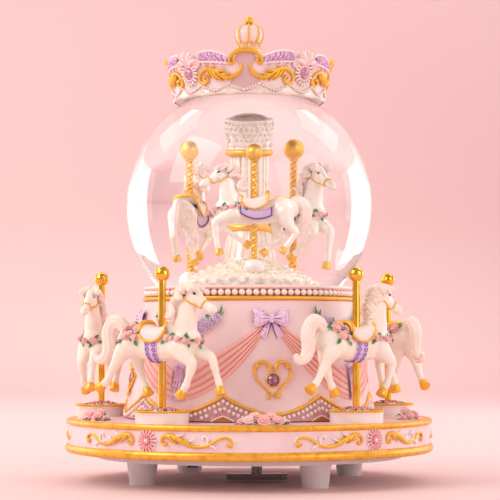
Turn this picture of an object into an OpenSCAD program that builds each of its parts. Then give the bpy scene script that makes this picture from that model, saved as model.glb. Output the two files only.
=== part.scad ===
// Carousel music box: a water globe on a wind-up base, with an outer ring of
// five horses and an inner ring of three that turn against each other.
// Millimetres, +Z up, origin at the centre of the base on the table.
// An azimuth is measured from the front (-Y) towards +X.

/* [Base] */
// Largest radius of the turntable, at its gold mouldings
rim_r = 74.4; // [66:0.2:90]
// Height of the feet
foot_h = 9.5; // [7:0.5:16]
// Radius of the circle that the feet stand on
foot_circle_r = 49; // [46:1:58]
// Radius of a foot at the floor
foot_r = 5; // [3.5:0.5:7]
// Radius of the bottom plate
plate_r = 61.5; // [58:0.5:64]
// Thickness of the bottom plate
plate_t = 1.8; // [1.2:0.1:3]
// Height of the turntable
turntable_h = 13.4; // [12:0.2:18]

/* [Drum] */
// Height of the drum above the turntable
drum_h = 52.4; // [46:0.4:60]
// Outer radius of the drum under its top moulding
drum_top_r = 42.3; // [42:0.1:44]
// Widening of the drum's radius for each millimetre down
drum_flare = 0.175; // [0.12:0.005:0.2]
// Wall of the drum
drum_wall = 2.2; // [1.6:0.1:3]
// Number of pearls in the top row
pearl_count = 96; // [60:4:100]
// Radius of a pearl in the top row
pearl_r = 1.3; // [0.8:0.05:1.35]

/* [Globe] */
// Outer radius of the glass globe
globe_r = 50; // [48:0.5:52]
// Wall of the glass
glass_t = 2; // [1.5:0.1:3]
// Outer radius of the globe's neck
neck_r = 30.5; // [28:0.5:31]

/* [Outer horses] */
// Number of horses on the turntable
outer_count = 5; // [3:1:5]
// Radius of the circle that the outer poles stand on
outer_circle_r = 63; // [60:0.5:64]
// Azimuth of the first outer pole
outer_azimuth = -31.5; // [-60:0.5:60]
// Radius of an outer pole
pole_r = 1.45; // [1:0.05:1.8]
// Height of the pole finials' centres above the turntable
pole_h = 56.5; // [52:0.5:62]
// Radius of a finial ball
finial_r = 2.9; // [2:0.1:4]
// Height of a horse's barrel above the turntable
horse_h = 29.4; // [28:0.2:34]
// Radius of a pedestal
pedestal_r = 10.2; // [8:0.2:10.6]
// Height of a pedestal
pedestal_h = 4.5; // [3:0.1:5.5]

/* [Inner horses] */
// Azimuths of the inner poles
inner_azimuths = [5, 138, 250];
// Radius of the circle that the inner poles stand on
inner_circle_r = 18.8; // [17:0.2:20]
// Radius of an inner pole
inner_pole_r = 1.25; // [0.8:0.05:1.4]
// Size of an inner horse against an outer one
inner_scale = 0.7; // [0.5:0.01:0.74]

/* [Crown] */
// Height of the crown's wall
crown_h = 14.6; // [12:0.2:20]
// Radius of the crown's lower edge
crown_low_r = 30.1; // [29:0.1:33]
// Radius of the crown's upper edge
crown_top_r = 32.8; // [32:0.1:36]
// Azimuth of the crown's front
crown_azimuth = -2.5; // [-45:0.5:45]

/* [Drive] */
// Place of the winding arbor from the centre, across and towards the back
key_at = [3, -12];
// Module of the large gears
gear_m = 1; // [1:0.1:1]
// Teeth on the ring gear under the turntable
ring_teeth = 84; // [84:2:84]
// Teeth on the tall transfer pinion and on the main wheel
pinion_teeth = 24; // [24:1:24]
// Teeth on the small pinion at the top of the transfer shaft
top_pinion_teeth = 11; // [11:1:11]

/* [Hidden] */
$fn = 64;
run_gap = 0.1;      // radial running clearance of a shaft
shaft_r = 2;        // radius of the large shafts
bearing_deep = 1;   // how far the transfer shaft enters each bearing
seat_gap = 0.15;    // clearance of a glued-on ornament from its wall
deck_gap = 0.4;     // clearance under a part that turns

// Colours
resin_pink = [0.96, 0.80, 0.80];
resin_white = [0.98, 0.92, 0.89];
horse_white = [0.98, 0.92, 0.85];
gold_paint = [0.85, 0.60, 0.18];
lilac_paint = [0.74, 0.58, 0.80];
rose_paint = [0.93, 0.60, 0.62];
plastic_white = [0.90, 0.87, 0.88];
steel_grey = [0.70, 0.70, 0.72];
brass_yellow = [0.80, 0.66, 0.35];

// Levels, from the table up
plate_z = foot_h;
plate_top = plate_z + plate_t;
deck_bottom = plate_top + 0.5;
deck_z = deck_bottom + turntable_h;
drum_z = deck_z + deck_gap;
drum_ring_z = drum_z + drum_h - 6;      // underside of the drum's top ring
drum_top = drum_z + drum_h;
globe_z = drum_top + 33;                // centre of the globe
crown_z = globe_z + 42.3;
crown_top = crown_z + crown_h;

// Radii that follow
band_r = rim_r - 1.6;                   // turntable wall between its mouldings
chassis_r = drum_top_r - drum_wall - 0.6;
bore_r = chassis_r + 1.5;               // hole through the turntable
function drum_r(z) = drum_top_r + drum_flare * (drum_ring_z - z);

// Ring rib of the bottom plate that the turntable glides on
glide_r = 52;
glide_t = 2;
deck_t = 3;
glide_z = deck_z - deck_t - 0.15;

// Places of the drive shafts
ring_r = gear_m * ring_teeth / 2;
pinion_pitch_r = gear_m * pinion_teeth / 2;
transfer_r = ring_r - pinion_pitch_r;
key_r = norm(key_at);
key_angle = atan2(key_at[1], key_at[0]);
mesh_r = 2 * pinion_pitch_r;
transfer_angle = key_angle
    + acos((transfer_r^2 + key_r^2 - mesh_r^2) / (2 * transfer_r * key_r));
transfer_at = transfer_r * [cos(transfer_angle), sin(transfer_angle)];
mesh_angle = atan2(transfer_at[1] - key_at[1], transfer_at[0] - key_at[0]);
centre_teeth = 2 * transfer_r / gear_m - top_pinion_teeth;
// A gap of the transfer pinion faces the main wheel, so the ring gear is
// turned until one of its teeth meets one of the pinion's gaps
ring_angle = transfer_angle
    + (mesh_angle + 180 - transfer_angle) * pinion_pitch_r / ring_r;

// Levels of the drive
wheel_z = plate_top + 2;
ring_gear_z = wheel_z + 3.5;
ring_gear_t = 4;
bed_z = ring_gear_z + ring_gear_t + 1.5;
bed_t = 2.4;
housing_r = 10.5;
housing_h = 11;
crown_wheel_z = bed_z + bed_t + housing_h + 0.5;
face_m = 0.8;
face_teeth = 24;
face_pinion_teeth = 12;
face_r = face_m * face_teeth / 2;
face_z = crown_wheel_z + 2.6;           // pitch plane of the crown wheel
cyl_z = face_z + face_m * face_pinion_teeth / 2;
cyl_r = 6;
cyl_y0 = key_at[1] + face_r + 3.8;
cyl_len = 18;
fan_wheel_teeth = 30;
fan_pinion_teeth = 10;
fan_m = 0.5;
fan_x = key_at[0] + fan_m * (fan_wheel_teeth + fan_pinion_teeth) / 2;
fan_wheel_y = cyl_y0 + cyl_len + 0.8;
top_gear_z = cyl_z + fan_m * fan_wheel_teeth / 2 + 2;
top_gear_t = 2.4;
chassis_deck_z = top_gear_z + top_gear_t + 1.2;
chassis_deck_t = 2;
driver_z = chassis_deck_z + chassis_deck_t + 13.3;
driver_t = 2.6;

// Globe and what stands in it
inner_globe_r = globe_r - glass_t;
neck_z = chassis_deck_z + chassis_deck_t + 4.5;   // lower edge of the glass
stopper_top = driver_z + driver_t + 2.6;
mound_hub_z = stopper_top + 0.8;
mound_z = mound_hub_z + 5;
mound_r = 25.5;
mound_top = mound_z + 10.4;
inner_ground = mound_z + 6.2;                    // mound level at the poles
inner_horse_z = inner_ground + 19.7;
inner_pole_top = inner_ground + 38.8;
column_z = mound_top;
column_top = globe_z + 27;

module at_azimuth(a, r = 0, z = 0) {
    rotate([0, 0, a]) translate([0, -r, z]) children();
}

// Repeats its children for each of n places round the axis
module ring_of(n, first = 0) {
    for (i = [0 : n - 1]) rotate([0, 0, first + i * 360 / n]) children();
}

// A chain of spheres [x, y, z, r], each pair hulled into one limb
module limb(points, fn = 12) {
    for (i = [0 : len(points) - 2])
        hull() for (p = [points[i], points[i + 1]])
            translate([p[0], p[1], p[2]]) sphere(r = p[3], $fn = fn);
}

// A spur gear with straight-sided teeth; phase turns it by a share of a tooth
module spur_2d(teeth, m, phase = 0, play = 0.16) {
    pitch = m * teeth / 2;
    root = pitch - 1.2 * m;
    tip = pitch + 0.9 * m;
    half_root = 360 / teeth / 4 + play * 20 / pitch;
    half_pitch = 360 / teeth / 4 - play * 29 / pitch;
    half_tip = half_pitch * 0.46;
    circle(r = root + 0.01);
    for (i = [0 : teeth - 1]) rotate((i + phase) * 360 / teeth)
        polygon([
            for (p = [[root - 0.4 * m, -half_root], [root, -half_root],
                      [pitch, -half_pitch], [tip, -half_tip],
                      [tip, half_tip], [pitch, half_pitch],
                      [root, half_root], [root - 0.4 * m, half_root]])
                p[0] * [cos(p[1]), sin(p[1])]
        ]);
}

// Radius at the root of an internal gear's teeth
function internal_root(teeth, m) = m * teeth / 2 + 1.2 * m;

// The teeth of an internal gear, pointing inwards, to be joined to its ring
module internal_teeth_2d(teeth, m, play = 0.16) {
    pitch = m * teeth / 2;
    root = internal_root(teeth, m) + 0.3 * m;
    tip = pitch - 0.8 * m;
    half_root = 360 / teeth / 4 + play * 8 / pitch;
    half_pitch = 360 / teeth / 4 - play * 29 / pitch;
    half_tip = half_pitch * 0.6;
    for (i = [0 : teeth - 1]) rotate(i * 360 / teeth)
        polygon([
            for (p = [[root, -half_root], [pitch, -half_pitch],
                      [tip, -half_tip], [tip, half_tip],
                      [pitch, half_pitch], [root, half_root]])
                p[0] * [cos(p[1]), sin(p[1])]
        ]);
}

// ---------------------------------------------------------------- base

foot_azimuth = 31.3;
screw_head_r = 2.4;
chassis_screw_r = chassis_r - 5;
screw_azimuths = [for (i = [0 : 3]) transfer_angle + 135 + 90 * i];
battery_at = [-23.2, 0];
battery_r = 5.8;
battery_len = 16.2;
switch_at = [-21.7, -40];
switch_travel = 2;
key_hole_r = 3;

module bottom_plate() {
    color(plastic_white) difference() {
        union() {
            translate([0, 0, plate_z]) cylinder(r = plate_r, h = plate_t);
            translate([transfer_at[0], transfer_at[1], plate_top - 0.01])
                cylinder(r = shaft_r + 1.8, h = 1.2);
            difference() {      // rib that the turntable glides on
                translate([0, 0, plate_top - 0.01])
                    cylinder(r = glide_r + glide_t, h = glide_z - plate_top);
                translate([0, 0, plate_top - 1])
                    cylinder(r = glide_r, h = glide_z);
            }
            for (y = [-1, 1])   // end walls of the battery trough
                translate([battery_at[0] - battery_r,
                           battery_at[1] + y * (battery_len / 2 + 1.1) - 1,
                           plate_top - 0.01])
                    cube([2 * battery_r, 2, 2 * battery_r - 2]);
        }
        translate([key_at[0], key_at[1], 0])
            cylinder(r = key_hole_r, h = plate_top + 1);
        translate([transfer_at[0], transfer_at[1], plate_top - bearing_deep])
            cylinder(r = shaft_r + run_gap, h = 5);
        translate([battery_at[0] - 7, battery_at[1] - 9, plate_z - 1])
            cube([14, 18, plate_t + 2]);
        translate([switch_at[0] - 2.2, switch_at[1] - 1.2, plate_z - 1])
            cube([4.4 + switch_travel, 2.4, plate_t + 2]);
        for (a = screw_azimuths) at_azimuth(a, chassis_screw_r)
            cylinder(r = 1.2, h = plate_top + 1);
    }
}

module feet() {
    color(plastic_white) ring_of(4, foot_azimuth)
        translate([0, -foot_circle_r, 0]) difference() {
            cylinder(r1 = foot_r, r2 = foot_r + 1.2, h = foot_h);
            translate([0, 0, 2])
                cylinder(r1 = foot_r - 1.4, r2 = foot_r - 0.2, h = foot_h);
        }
}

module screws() {
    color(steel_grey) for (a = screw_azimuths)
        at_azimuth(a, chassis_screw_r, plate_z) {
            translate([0, 0, -1.4]) cylinder(r = screw_head_r, h = 1.38);
            translate([0, 0, -0.1]) cylinder(r = 1.1, h = plate_t + 7);
        }
}

module battery_door() {
    color(plastic_white) translate([battery_at[0], battery_at[1], plate_z]) {
        translate([-6.8, -8.8, 0]) cube([13.6, 17.6, plate_t]);
        translate([-3, -8.2, -0.6]) cube([6, 1.2, 0.7]);
    }
}

module battery_cells() {
    cell_h = battery_len / 3;
    color(steel_grey)
        translate([battery_at[0], battery_at[1] - battery_len / 2,
                   plate_top + battery_r + 0.1])
            for (i = [0 : 2]) translate([0, i * cell_h + 0.1, 0])
                rotate([-90, 0, 0]) {
                    cylinder(r = battery_r - 0.1, h = cell_h - 0.9);
                    translate([0, 0, cell_h - 1])
                        cylinder(r = battery_r - 1.6, h = 0.8);
                }
}

module switch_body() {
    color("dimgray") difference() {
        translate([switch_at[0] - 4.5, switch_at[1] - 2, plate_top])
            cube([9 + switch_travel, 4, 3.4]);
        translate([switch_at[0] - 2.3, switch_at[1] - 1.3, plate_top - 1])
            cube([4.6 + switch_travel, 2.6, 3]);
    }
}

module switch_knob() {
    color("black")
        translate([switch_at[0] - 2, switch_at[1] - 1, plate_z - 1.9])
            cube([4, 2, plate_t + 3.5]);
}

// The fixed tub that carries the drum, the globe and the movement
module chassis() {
    tub_wall = 2;
    window = 25;
    color(plastic_white) difference() {
        union() {
            difference() {
                translate([0, 0, plate_top])
                    cylinder(r = chassis_r, h = drum_ring_z - plate_top);
                translate([0, 0, plate_top - 1])
                    cylinder(r = chassis_r - tub_wall,
                             h = drum_ring_z - plate_top + 2);
            }
            translate([0, 0, chassis_deck_z])
                cylinder(r = chassis_r - tub_wall / 2, h = chassis_deck_t);
            translate([0, 0, chassis_deck_z])
                cylinder(r = neck_r + 2.2,
                         h = drum_ring_z - chassis_deck_z - 1);
            for (a = screw_azimuths) at_azimuth(a, chassis_screw_r, plate_top)
                cylinder(r = 3.2, h = 9);
        }
        translate([0, 0, chassis_deck_z + chassis_deck_t])
            cylinder(r = neck_r + 0.2, h = 40);
        translate([0, 0, chassis_deck_z - 1])
            cylinder(r = shaft_r + run_gap, h = 10);
        translate([transfer_at[0], transfer_at[1], chassis_deck_z - 1])
            cylinder(r = shaft_r + run_gap, h = bearing_deep + 1);
        rotate([0, 0, transfer_angle])
            translate([transfer_r, -window / 2, wheel_z - 1])
                cube([20, window, bed_z - wheel_z]);
        for (a = screw_azimuths) at_azimuth(a, chassis_screw_r)
            cylinder(r = 1.15, h = plate_top + 7.5);
    }
}

// ---------------------------------------------------------------- drum

module globe_ball(extra = 0) {
    translate([0, 0, globe_z]) sphere(r = globe_r + extra);
}

lip_z = drum_top - 1.6;             // underside of the drum's top lip
groove_r = drum_top_r - pearl_r - 0.4;

module drum_shell() {
    color(resin_pink) difference() {
        union() {
            translate([0, 0, drum_z])
                cylinder(r1 = drum_r(drum_z), r2 = drum_top_r,
                         h = drum_ring_z - drum_z);
            translate([0, 0, drum_ring_z])
                cylinder(r = groove_r, h = drum_top - drum_ring_z);
            translate([0, 0, lip_z])
                cylinder(r = drum_top_r + 0.1, h = drum_top - lip_z);
        }
        translate([0, 0, drum_z - 0.01])
            cylinder(r1 = drum_r(drum_z) - drum_wall,
                     r2 = drum_top_r - drum_wall,
                     h = drum_ring_z - drum_z + 0.02);
        globe_ball(0.3);
    }
}

drum_lean = atan(drum_flare);
scallops = 8;
drum_azimuth = 11;
scallop_low = 2.6;          // hem trim above the drum's edge, at a lobe
scallop_high = 9.8;         // and at a peak
function hem_z(a) =
    let (t = abs(((a * scallops / 360) % 1 + 1) % 1 - 0.5) * 2)
    drum_z + scallop_high - (scallop_high - scallop_low) * (1 - t ^ 1.7);

// A relief that lies on the drum: points [across, up, out] over a grid, where
// across is degrees from the piece's own azimuth and up is a height
module drum_relief(azimuth, across, up, out, nu, nv) {
    function skin(u, v, lift) =
        let (a = azimuth + across(u, v), z = up(u, v),
             r = drum_r(z) + seat_gap + lift)
        [r * sin(a), -r * cos(a), z];
    front = [for (i = [0 : nu], j = [0 : nv])
        skin(i / nu, j / nv, 0.35 + out(i / nu, j / nv))];
    back = [for (i = [0 : nu], j = [0 : nv]) skin(i / nu, j / nv, 0)];
    w = nv + 1;
    n = (nu + 1) * w;
    polyhedron(points = concat(front, back), faces = concat(
        [for (i = [0 : nu - 1], j = [0 : nv - 1], t = [0, 1])
            t == 0 ? [i * w + j, i * w + j + 1, (i + 1) * w + j + 1]
                   : [i * w + j, (i + 1) * w + j + 1, (i + 1) * w + j]],
        [for (i = [0 : nu - 1], j = [0 : nv - 1], t = [0, 1])
            t == 0 ? [n + i * w + j, n + (i + 1) * w + j + 1, n + i * w + j + 1]
                   : [n + i * w + j, n + (i + 1) * w + j,
                      n + (i + 1) * w + j + 1]],
        [for (i = [0 : nu - 1], t = [0, 1])
            t == 0 ? [i * w, (i + 1) * w, n + (i + 1) * w]
                   : [i * w, n + (i + 1) * w, n + i * w]],
        [for (i = [0 : nu - 1], t = [0, 1])
            t == 0 ? [i * w + nv, n + i * w + nv, n + (i + 1) * w + nv]
                   : [i * w + nv, n + (i + 1) * w + nv, (i + 1) * w + nv]],
        [for (j = [0 : nv - 1], t = [0, 1])
            t == 0 ? [j, n + j, n + j + 1] : [j, n + j + 1, j + 1]],
        [for (j = [0 : nv - 1], t = [0, 1])
            t == 0 ? [nu * w + j, nu * w + j + 1, n + nu * w + j + 1]
                   : [nu * w + j, n + nu * w + j + 1, n + nu * w + j]]
    ));
}

module drum_trim() {
    line_w = 1.3;
    pitch = 360 / scallops;
    color(gold_paint) {
        translate([0, 0, drum_ring_z + 0.9]) rotate_extrude()
            translate([drum_top_r + 0.2, 0]) circle(r = 0.8);
        for (k = [0 : scallops - 1])
            drum_relief(drum_azimuth + pitch * (k - 0.5),
                function (u, v) pitch * u,
                function (u, v) hem_z(pitch * u) + line_w * (v - 0.5),
                function (u, v) 0.5,
                10, 1);
    }
}

module drum_pearls() {
    color(resin_white)
        ring_of(pearl_count)
            translate([0, -(groove_r + pearl_r + 0.05), lip_z - pearl_r])
                sphere(r = pearl_r, $fn = 32);
}

bow_z = drum_ring_z - 7.2;
drape_start = 7;            // degrees from a bow to the top of its drape
drape_end = 40;             // and to where two drapes meet
drape_low = drum_z + 8;

// One cloth drape, from its bow down to where it is tied
module drape(azimuth, side) {
    drum_relief(azimuth,
        function (u, v) side * (drape_start
            + (drape_end - drape_start) * u * (1 - 0.16 * v * (1 - u))),
        function (u, v) let (top = bow_z - 3.5 - 17 * u ^ 0.9,
                             bottom = bow_z - 5.5 - (bow_z - 5.5 - drape_low)
                                      * (1 - (1 - u) ^ 1.5))
            top + (bottom - top) * v,
        function (u, v) 0.9 * (0.55 + 0.45 * cos(v * 1080)),
        4, 9);
}

module drapery() {
    color(rose_paint) for (k = [0 : 3]) {
        drape(drum_azimuth + 90 * k, 1);
        mirror([1, 0, 0]) drape(-(drum_azimuth + 90 * k), 1);
    }
}

module ribbon_bows() {
    proud = drum_r(bow_z) + 1.9;
    color(lilac_paint) for (k = [0 : 3])
        at_azimuth(drum_azimuth + 90 * k, proud, bow_z)
            rotate([-drum_lean, 0, 0]) {
            hull() for (x = [-1, 1])
                translate([x * 0.5, 0, 0]) sphere(r = 1.35, $fn = 5);
            for (s = [-1, 1]) {
                hull() {
                    translate([s * 1.4, 0, 0]) sphere(r = 0.8, $fn = 5);
                    translate([s * 5.6, 0.35, 1.9]) sphere(r = 1, $fn = 5);
                    translate([s * 5.4, 0.35, -1.6]) sphere(r = 1, $fn = 5);
                }
                hull() {
                    translate([s * 1, 0.3, -1.2]) sphere(r = 0.6, $fn = 5);
                    translate([s * 2.6, 0.1, -5.6]) sphere(r = 0.6, $fn = 5);
                    translate([s * 4.6, 0.35, -4.8]) sphere(r = 0.6, $fn = 5);
                }
            }
        }
}

heart_z = drum_z + 16.2;

module heart_frames() {
    color(gold_paint) for (k = [0 : 3])
        at_azimuth(drum_azimuth + 90 * k, drum_r(heart_z) + 0.9, heart_z)
            rotate([90 - drum_lean, 0, 0]) for (s = [0, 1]) mirror([s, 0, 0]) {
                translate([3.7, 3.2, 0]) rotate_extrude(angle = 205)
                    translate([2.7, 0]) circle(r = 0.55, $fn = 20);
                translate([-4.2, 3.6, 0]) rotate([0, 0, -45])
                    rotate_extrude(angle = 42)
                        translate([10.6, 0]) circle(r = 0.5, $fn = 20);
            }
}

module heart_gems() {
    color("orchid") for (k = [0 : 3])
        at_azimuth(drum_azimuth + 90 * k,
                   drum_r(heart_z) + seat_gap, heart_z - 0.5)
            rotate([90 - drum_lean, 0, 0])
                cylinder(r1 = 2.3, r2 = 1.4, h = 1.5);
}

module wall_bouquets() {
    bouquet_z = bow_z - 2;
    color(lilac_paint) for (k = [0 : 3])
        at_azimuth(drum_azimuth + 45 + 90 * k, 0, 0) {
            for (s = [-1, 1], i = [0 : 3]) {
                z = bouquet_z - 1.4 + 1.1 * i;
                at_azimuth(s * (5 + 4.6 * i), drum_r(z) + 2.3 - 0.3 * i, z)
                    sphere(r = 2 - 0.3 * i);
            }
            at_azimuth(0, drum_r(bouquet_z) + 2.6, bouquet_z)
                sphere(r = 2.3);
        }
}

// ---------------------------------------------------------------- globe

module glass_globe() {
    color("lightcyan", 0.3) difference() {
        union() {
            globe_ball();
            translate([0, 0, neck_z])
                cylinder(r = neck_r, h = globe_z - inner_globe_r * 0.8 - neck_z);
        }
        globe_ball(-glass_t);
        translate([0, 0, neck_z - 10])
            cylinder(r = neck_r - glass_t, h = globe_z - neck_z - 20);
    }
}

pin_r = 1.5;

module globe_stopper() {
    plug_r = neck_r - glass_t - run_gap;
    color("dimgray") difference() {
        union() {
            translate([0, 0, neck_z - 2]) cylinder(r = neck_r, h = 1.95);
            translate([0, 0, neck_z - 1])
                cylinder(r = plug_r, h = stopper_top - neck_z + 1);
        }
        translate([0, 0, neck_z - 3])
            cylinder(r = plug_r - 4, h = driver_z + driver_t + 1 - neck_z + 3);
        translate([0, 0, stopper_top - 1.2])
            cylinder(r = pin_r, h = 2);
    }
}

module pivot_pin() {
    color(steel_grey) translate([0, 0, stopper_top - 1.2])
        cylinder(r = pin_r, h = mound_z + 3 - stopper_top + 1.2);
}

// ---------------------------------------------------------------- crown

crown_wall = 2.4;
function crown_r(z) =
    crown_low_r + (crown_top_r - crown_low_r) * (z - crown_z) / crown_h;
dome_z = crown_top + 7.2;
finial_z = dome_z - 0.3;

module crown_canopy() {
    color(resin_pink) difference() {
        rotate_extrude() polygon([
            [20, crown_z], [crown_low_r, crown_z],
            [crown_top_r, crown_top], [crown_top_r - crown_wall, crown_top],
            [26, crown_top + 3.4], [18, dome_z - 1.6], [6, dome_z], [0, dome_z],
            [0, dome_z - 2], [6, dome_z - 2], [18, dome_z - 3.6],
            [crown_top_r - 2 * crown_wall, crown_top - 2],
            [crown_low_r - crown_wall, crown_z + 4], [20, crown_z + 4]
        ]);
        globe_ball(0.2);
    }
}

// Lays its children on the crown's wall, with their z outwards and y up
module crown_face(a, z, out = 0.05) {
    lean = atan((crown_top_r - crown_low_r) / crown_h);
    at_azimuth(a, crown_r(z) + out, z) rotate([90 + lean, 0, 0]) children();
}

// Gold arches over the crown's four fronts, and the scrolls beside them
module crown_scrolls() {
    arch_z = crown_top - 4.2;
    scroll_z = crown_z + 7;
    color(gold_paint) for (k = [0 : 3]) rotate([0, 0, crown_azimuth + 90 * k]) {
        translate([0, -(crown_top_r + 1.15), arch_z]) rotate([90, 0, 0])
            rotate([0, 0, 12]) rotate_extrude(angle = 156)
                translate([6.6, 0]) circle(r = 1, $fn = 24);
        for (s = [-1, 1]) {
            crown_face(s * 12.5, scroll_z - 1.2, 0.75) rotate_extrude()
                translate([1, 0]) circle(r = 0.6, $fn = 20);
            crown_face(s * 19, scroll_z - 3, 1) rotate([0, 0, 35])
                rotate_extrude(angle = 110)
                    translate([3.6, 0]) circle(r = 0.8, $fn = 20);
            crown_face(s * 30, scroll_z, 0.9) rotate_extrude()
                translate([1.5, 0]) circle(r = 0.75, $fn = 20);
        }
    }
}

// A pointed leaf with a wavy edge, standing on its base
module leaf_2d(length, width) {
    lobes = 3;
    polygon([for (t = [-1 : 0.2 : 1])
        let (u = 1 - abs(t), w = width / 2 * sin(180 * (0.12 + 0.88 * (1 - u)))
                 * (1 + 0.18 * cos(360 * lobes * u)))
            [sign(t) * w, length * u]]);
}

// Leaf crests along the top edge, running from each arch to the next gem
module crown_leaves() {
    leaf_t = 1.6;
    color(lilac_paint) for (k = [0 : 3], s = [-1, 1], i = [0 : 3])
        at_azimuth(crown_azimuth + 90 * k + s * (17 + 5.8 * i),
                   crown_top_r - 2, crown_top + 0.05)
            rotate([90, 0, 0]) linear_extrude(leaf_t)
                rotate(s * 14) translate([0, 0.6]) leaf_2d(4.6 + 0.5 * i, 3.6);
}

gem_z = crown_z + 8.2;
gem_r = 2.55;

// Petalled oval frames with a shell over each
module gem_frames() {
    petals = 16;
    frame_r = gem_r + 1;
    color(rose_paint) for (k = [0 : 3]) rotate([0, 0, crown_azimuth + 45 + 90 * k]) {
        crown_face(0, gem_z) difference() {
            linear_extrude(1.2) {
                circle(r = frame_r);
                for (i = [0 : petals - 1]) rotate(360 / petals * i)
                    translate([frame_r, 0]) circle(r = 0.75, $fn = 16);
            }
            translate([0, 0, 0.5]) cylinder(r = gem_r + 0.1, h = 2);
        }
        translate([0, -(crown_top_r - 1.8), crown_top + 0.05])
            rotate([90, 0, 0]) linear_extrude(1.5) polygon([
                [-1.4, 0], for (a = [-52 : 4 : 52])
                    (4.8 + 0.3 * cos(a * 360 / 26)) * [sin(a), cos(a)],
                [1.4, 0]]);
    }
}

module crown_gems() {
    color("orchid") for (k = [0 : 3])
        rotate([0, 0, crown_azimuth + 45 + 90 * k]) crown_face(0, gem_z)
            translate([0, 0, 0.55]) cylinder(r1 = gem_r, r2 = 1.5, h = 1.4);
}

module finial_crown() {
    color(resin_pink) translate([0, 0, finial_z]) {
        translate([0, 0, 0.35]) cylinder(r = 4.6, h = 3);
        rotate_extrude() intersection() {
            translate([0, -5]) square([20, 30]);
            translate([1.4, 6.6]) scale([0.95, 0.95]) circle(r = 4.8);
        }
    }
    color(gold_paint) translate([0, 0, finial_z + 12.4]) sphere(r = 1.9);
}

// ---------------------------------------------------------------- movement

bed_posts = [[-14, -22.5], [-14, 20], [14.5, 20]];

module movement_bedplate() {
    pivot_r = 0.8;
    color(steel_grey) difference() {
        union() {
            translate([-16.5, -26, bed_z]) cube([35.5, 52, bed_t]);
            for (p = bed_posts) translate([p[0], p[1], plate_top])
                cylinder(r = 2.4, h = bed_z - plate_top + 0.01);
            // arms that carry the cylinder's and the fan's pivots
            translate([key_at[0] - 2, cyl_y0 - 1.9, bed_z + bed_t - 0.01])
                cube([4, 1.2, cyl_z - bed_z - bed_t + 2.6]);
            translate([key_at[0] - 2.5, fan_wheel_y + 3.2, bed_z + bed_t - 0.01])
                cube([fan_x - key_at[0] + 5, 1.4, cyl_z - bed_z - bed_t + 2.6]);
            translate([fan_x - 1.5, fan_wheel_y - 9.4, bed_z + bed_t - 0.01])
                cube([3, 1.2, cyl_z - bed_z - bed_t + 2.2]);
        }
        translate([key_at[0], key_at[1], bed_z - 1])
            cylinder(r = shaft_r + run_gap, h = bed_t + 2);
        translate([key_at[0], cyl_y0 - 3, cyl_z]) rotate([-90, 0, 0])
            cylinder(r = pivot_r + 0.4 + run_gap, h = 3);
        translate([key_at[0], fan_wheel_y + 3, cyl_z]) rotate([-90, 0, 0])
            cylinder(r = pivot_r + run_gap, h = 3);
        translate([fan_x, fan_wheel_y + 3, cyl_z]) rotate([-90, 0, 0])
            cylinder(r = pivot_r + run_gap, h = 3);
        translate([fan_x, fan_wheel_y - 10, cyl_z]) rotate([-90, 0, 0])
            cylinder(r = pivot_r + run_gap, h = 3);
    }
}

module spring_housing() {
    color(steel_grey) translate([key_at[0], key_at[1], bed_z + bed_t])
        difference() {
            cylinder(r = housing_r, h = housing_h);
            translate([0, 0, 1]) cylinder(r = housing_r - 1, h = housing_h - 2);
            translate([0, 0, -1])
                cylinder(r = shaft_r + run_gap, h = housing_h + 2);
        }
}

// The coiled spring, as bands of strip from the arbor out to the housing
module mainspring() {
    strip = 0.5;
    color("slategray")
        translate([key_at[0], key_at[1], bed_z + bed_t + 1.5])
            for (r = [3.2 : 1.2 : housing_r - 1.6]) difference() {
                cylinder(r = r + strip, h = housing_h - 3);
                translate([0, 0, -1]) cylinder(r = r, h = housing_h);
            }
}

comb_teeth = 18;

module comb() {
    comb_x = key_at[0] - cyl_r - 1;
    pitch = (cyl_len - 1) / comb_teeth;
    color(steel_grey) {
        difference() {
            translate([comb_x - 10, cyl_y0 + 0.5, cyl_z - 0.4])
                cube([5, cyl_len - 1, 1]);
            for (y = [4, cyl_len - 4])
                translate([comb_x - 8, cyl_y0 + y, cyl_z - 1])
                    cylinder(r = 1, h = 3);
        }
        for (i = [0 : comb_teeth - 1])
            translate([comb_x - 5.01, cyl_y0 + 0.5 + pitch * (i + 0.2), cyl_z - 0.4])
                cube([5.4, pitch * 0.6, 0.6]);
        translate([comb_x - 10, cyl_y0 + 0.5, bed_z + bed_t])
            cube([4, cyl_len - 1, cyl_z - 0.39 - bed_z - bed_t]);
    }
}

module winding_arbor() {
    color(brass_yellow) translate([key_at[0], key_at[1], 0]) {
        translate([0, 0, 6]) cylinder(r = 1.5, h = wheel_z - 6 + 0.01);
        translate([0, 0, wheel_z])
            cylinder(r = shaft_r, h = crown_wheel_z - wheel_z + 2);
        translate([0, 0, wheel_z]) linear_extrude(2)
            rotate(mesh_angle) spur_2d(pinion_teeth, gear_m);
        translate([0, 0, crown_wheel_z]) cylinder(r = face_r + 1.2, h = 1.6);
        for (i = [0 : face_teeth - 1]) rotate([0, 0, i * 360 / face_teeth])
            translate([0, face_r, crown_wheel_z + 1.5]) rotate([90, 0, 0])
                linear_extrude(2, center = true) polygon([
                    [-0.62, 0], [0.62, 0], [0.44, 1.1], [0.2, 1.7],
                    [-0.2, 1.7], [-0.44, 1.1]]);
    }
}

module winding_key() {
    bar_len = 24.4;
    bar_z = 1;
    color(steel_grey) translate([key_at[0], key_at[1], 0]) difference() {
        union() {
            translate([0, 0, bar_z]) hull() for (s = [-1, 1])
                translate([s * (bar_len / 2 - 3.2), 0, 0])
                    cylinder(r = 3.2, h = 2.4);
            translate([0, 0, bar_z + 2.3]) cylinder(r = 2.2, h = 6.6);
        }
        translate([0, 0, 6]) cylinder(r = 1.5, h = 10);
    }
}

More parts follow.
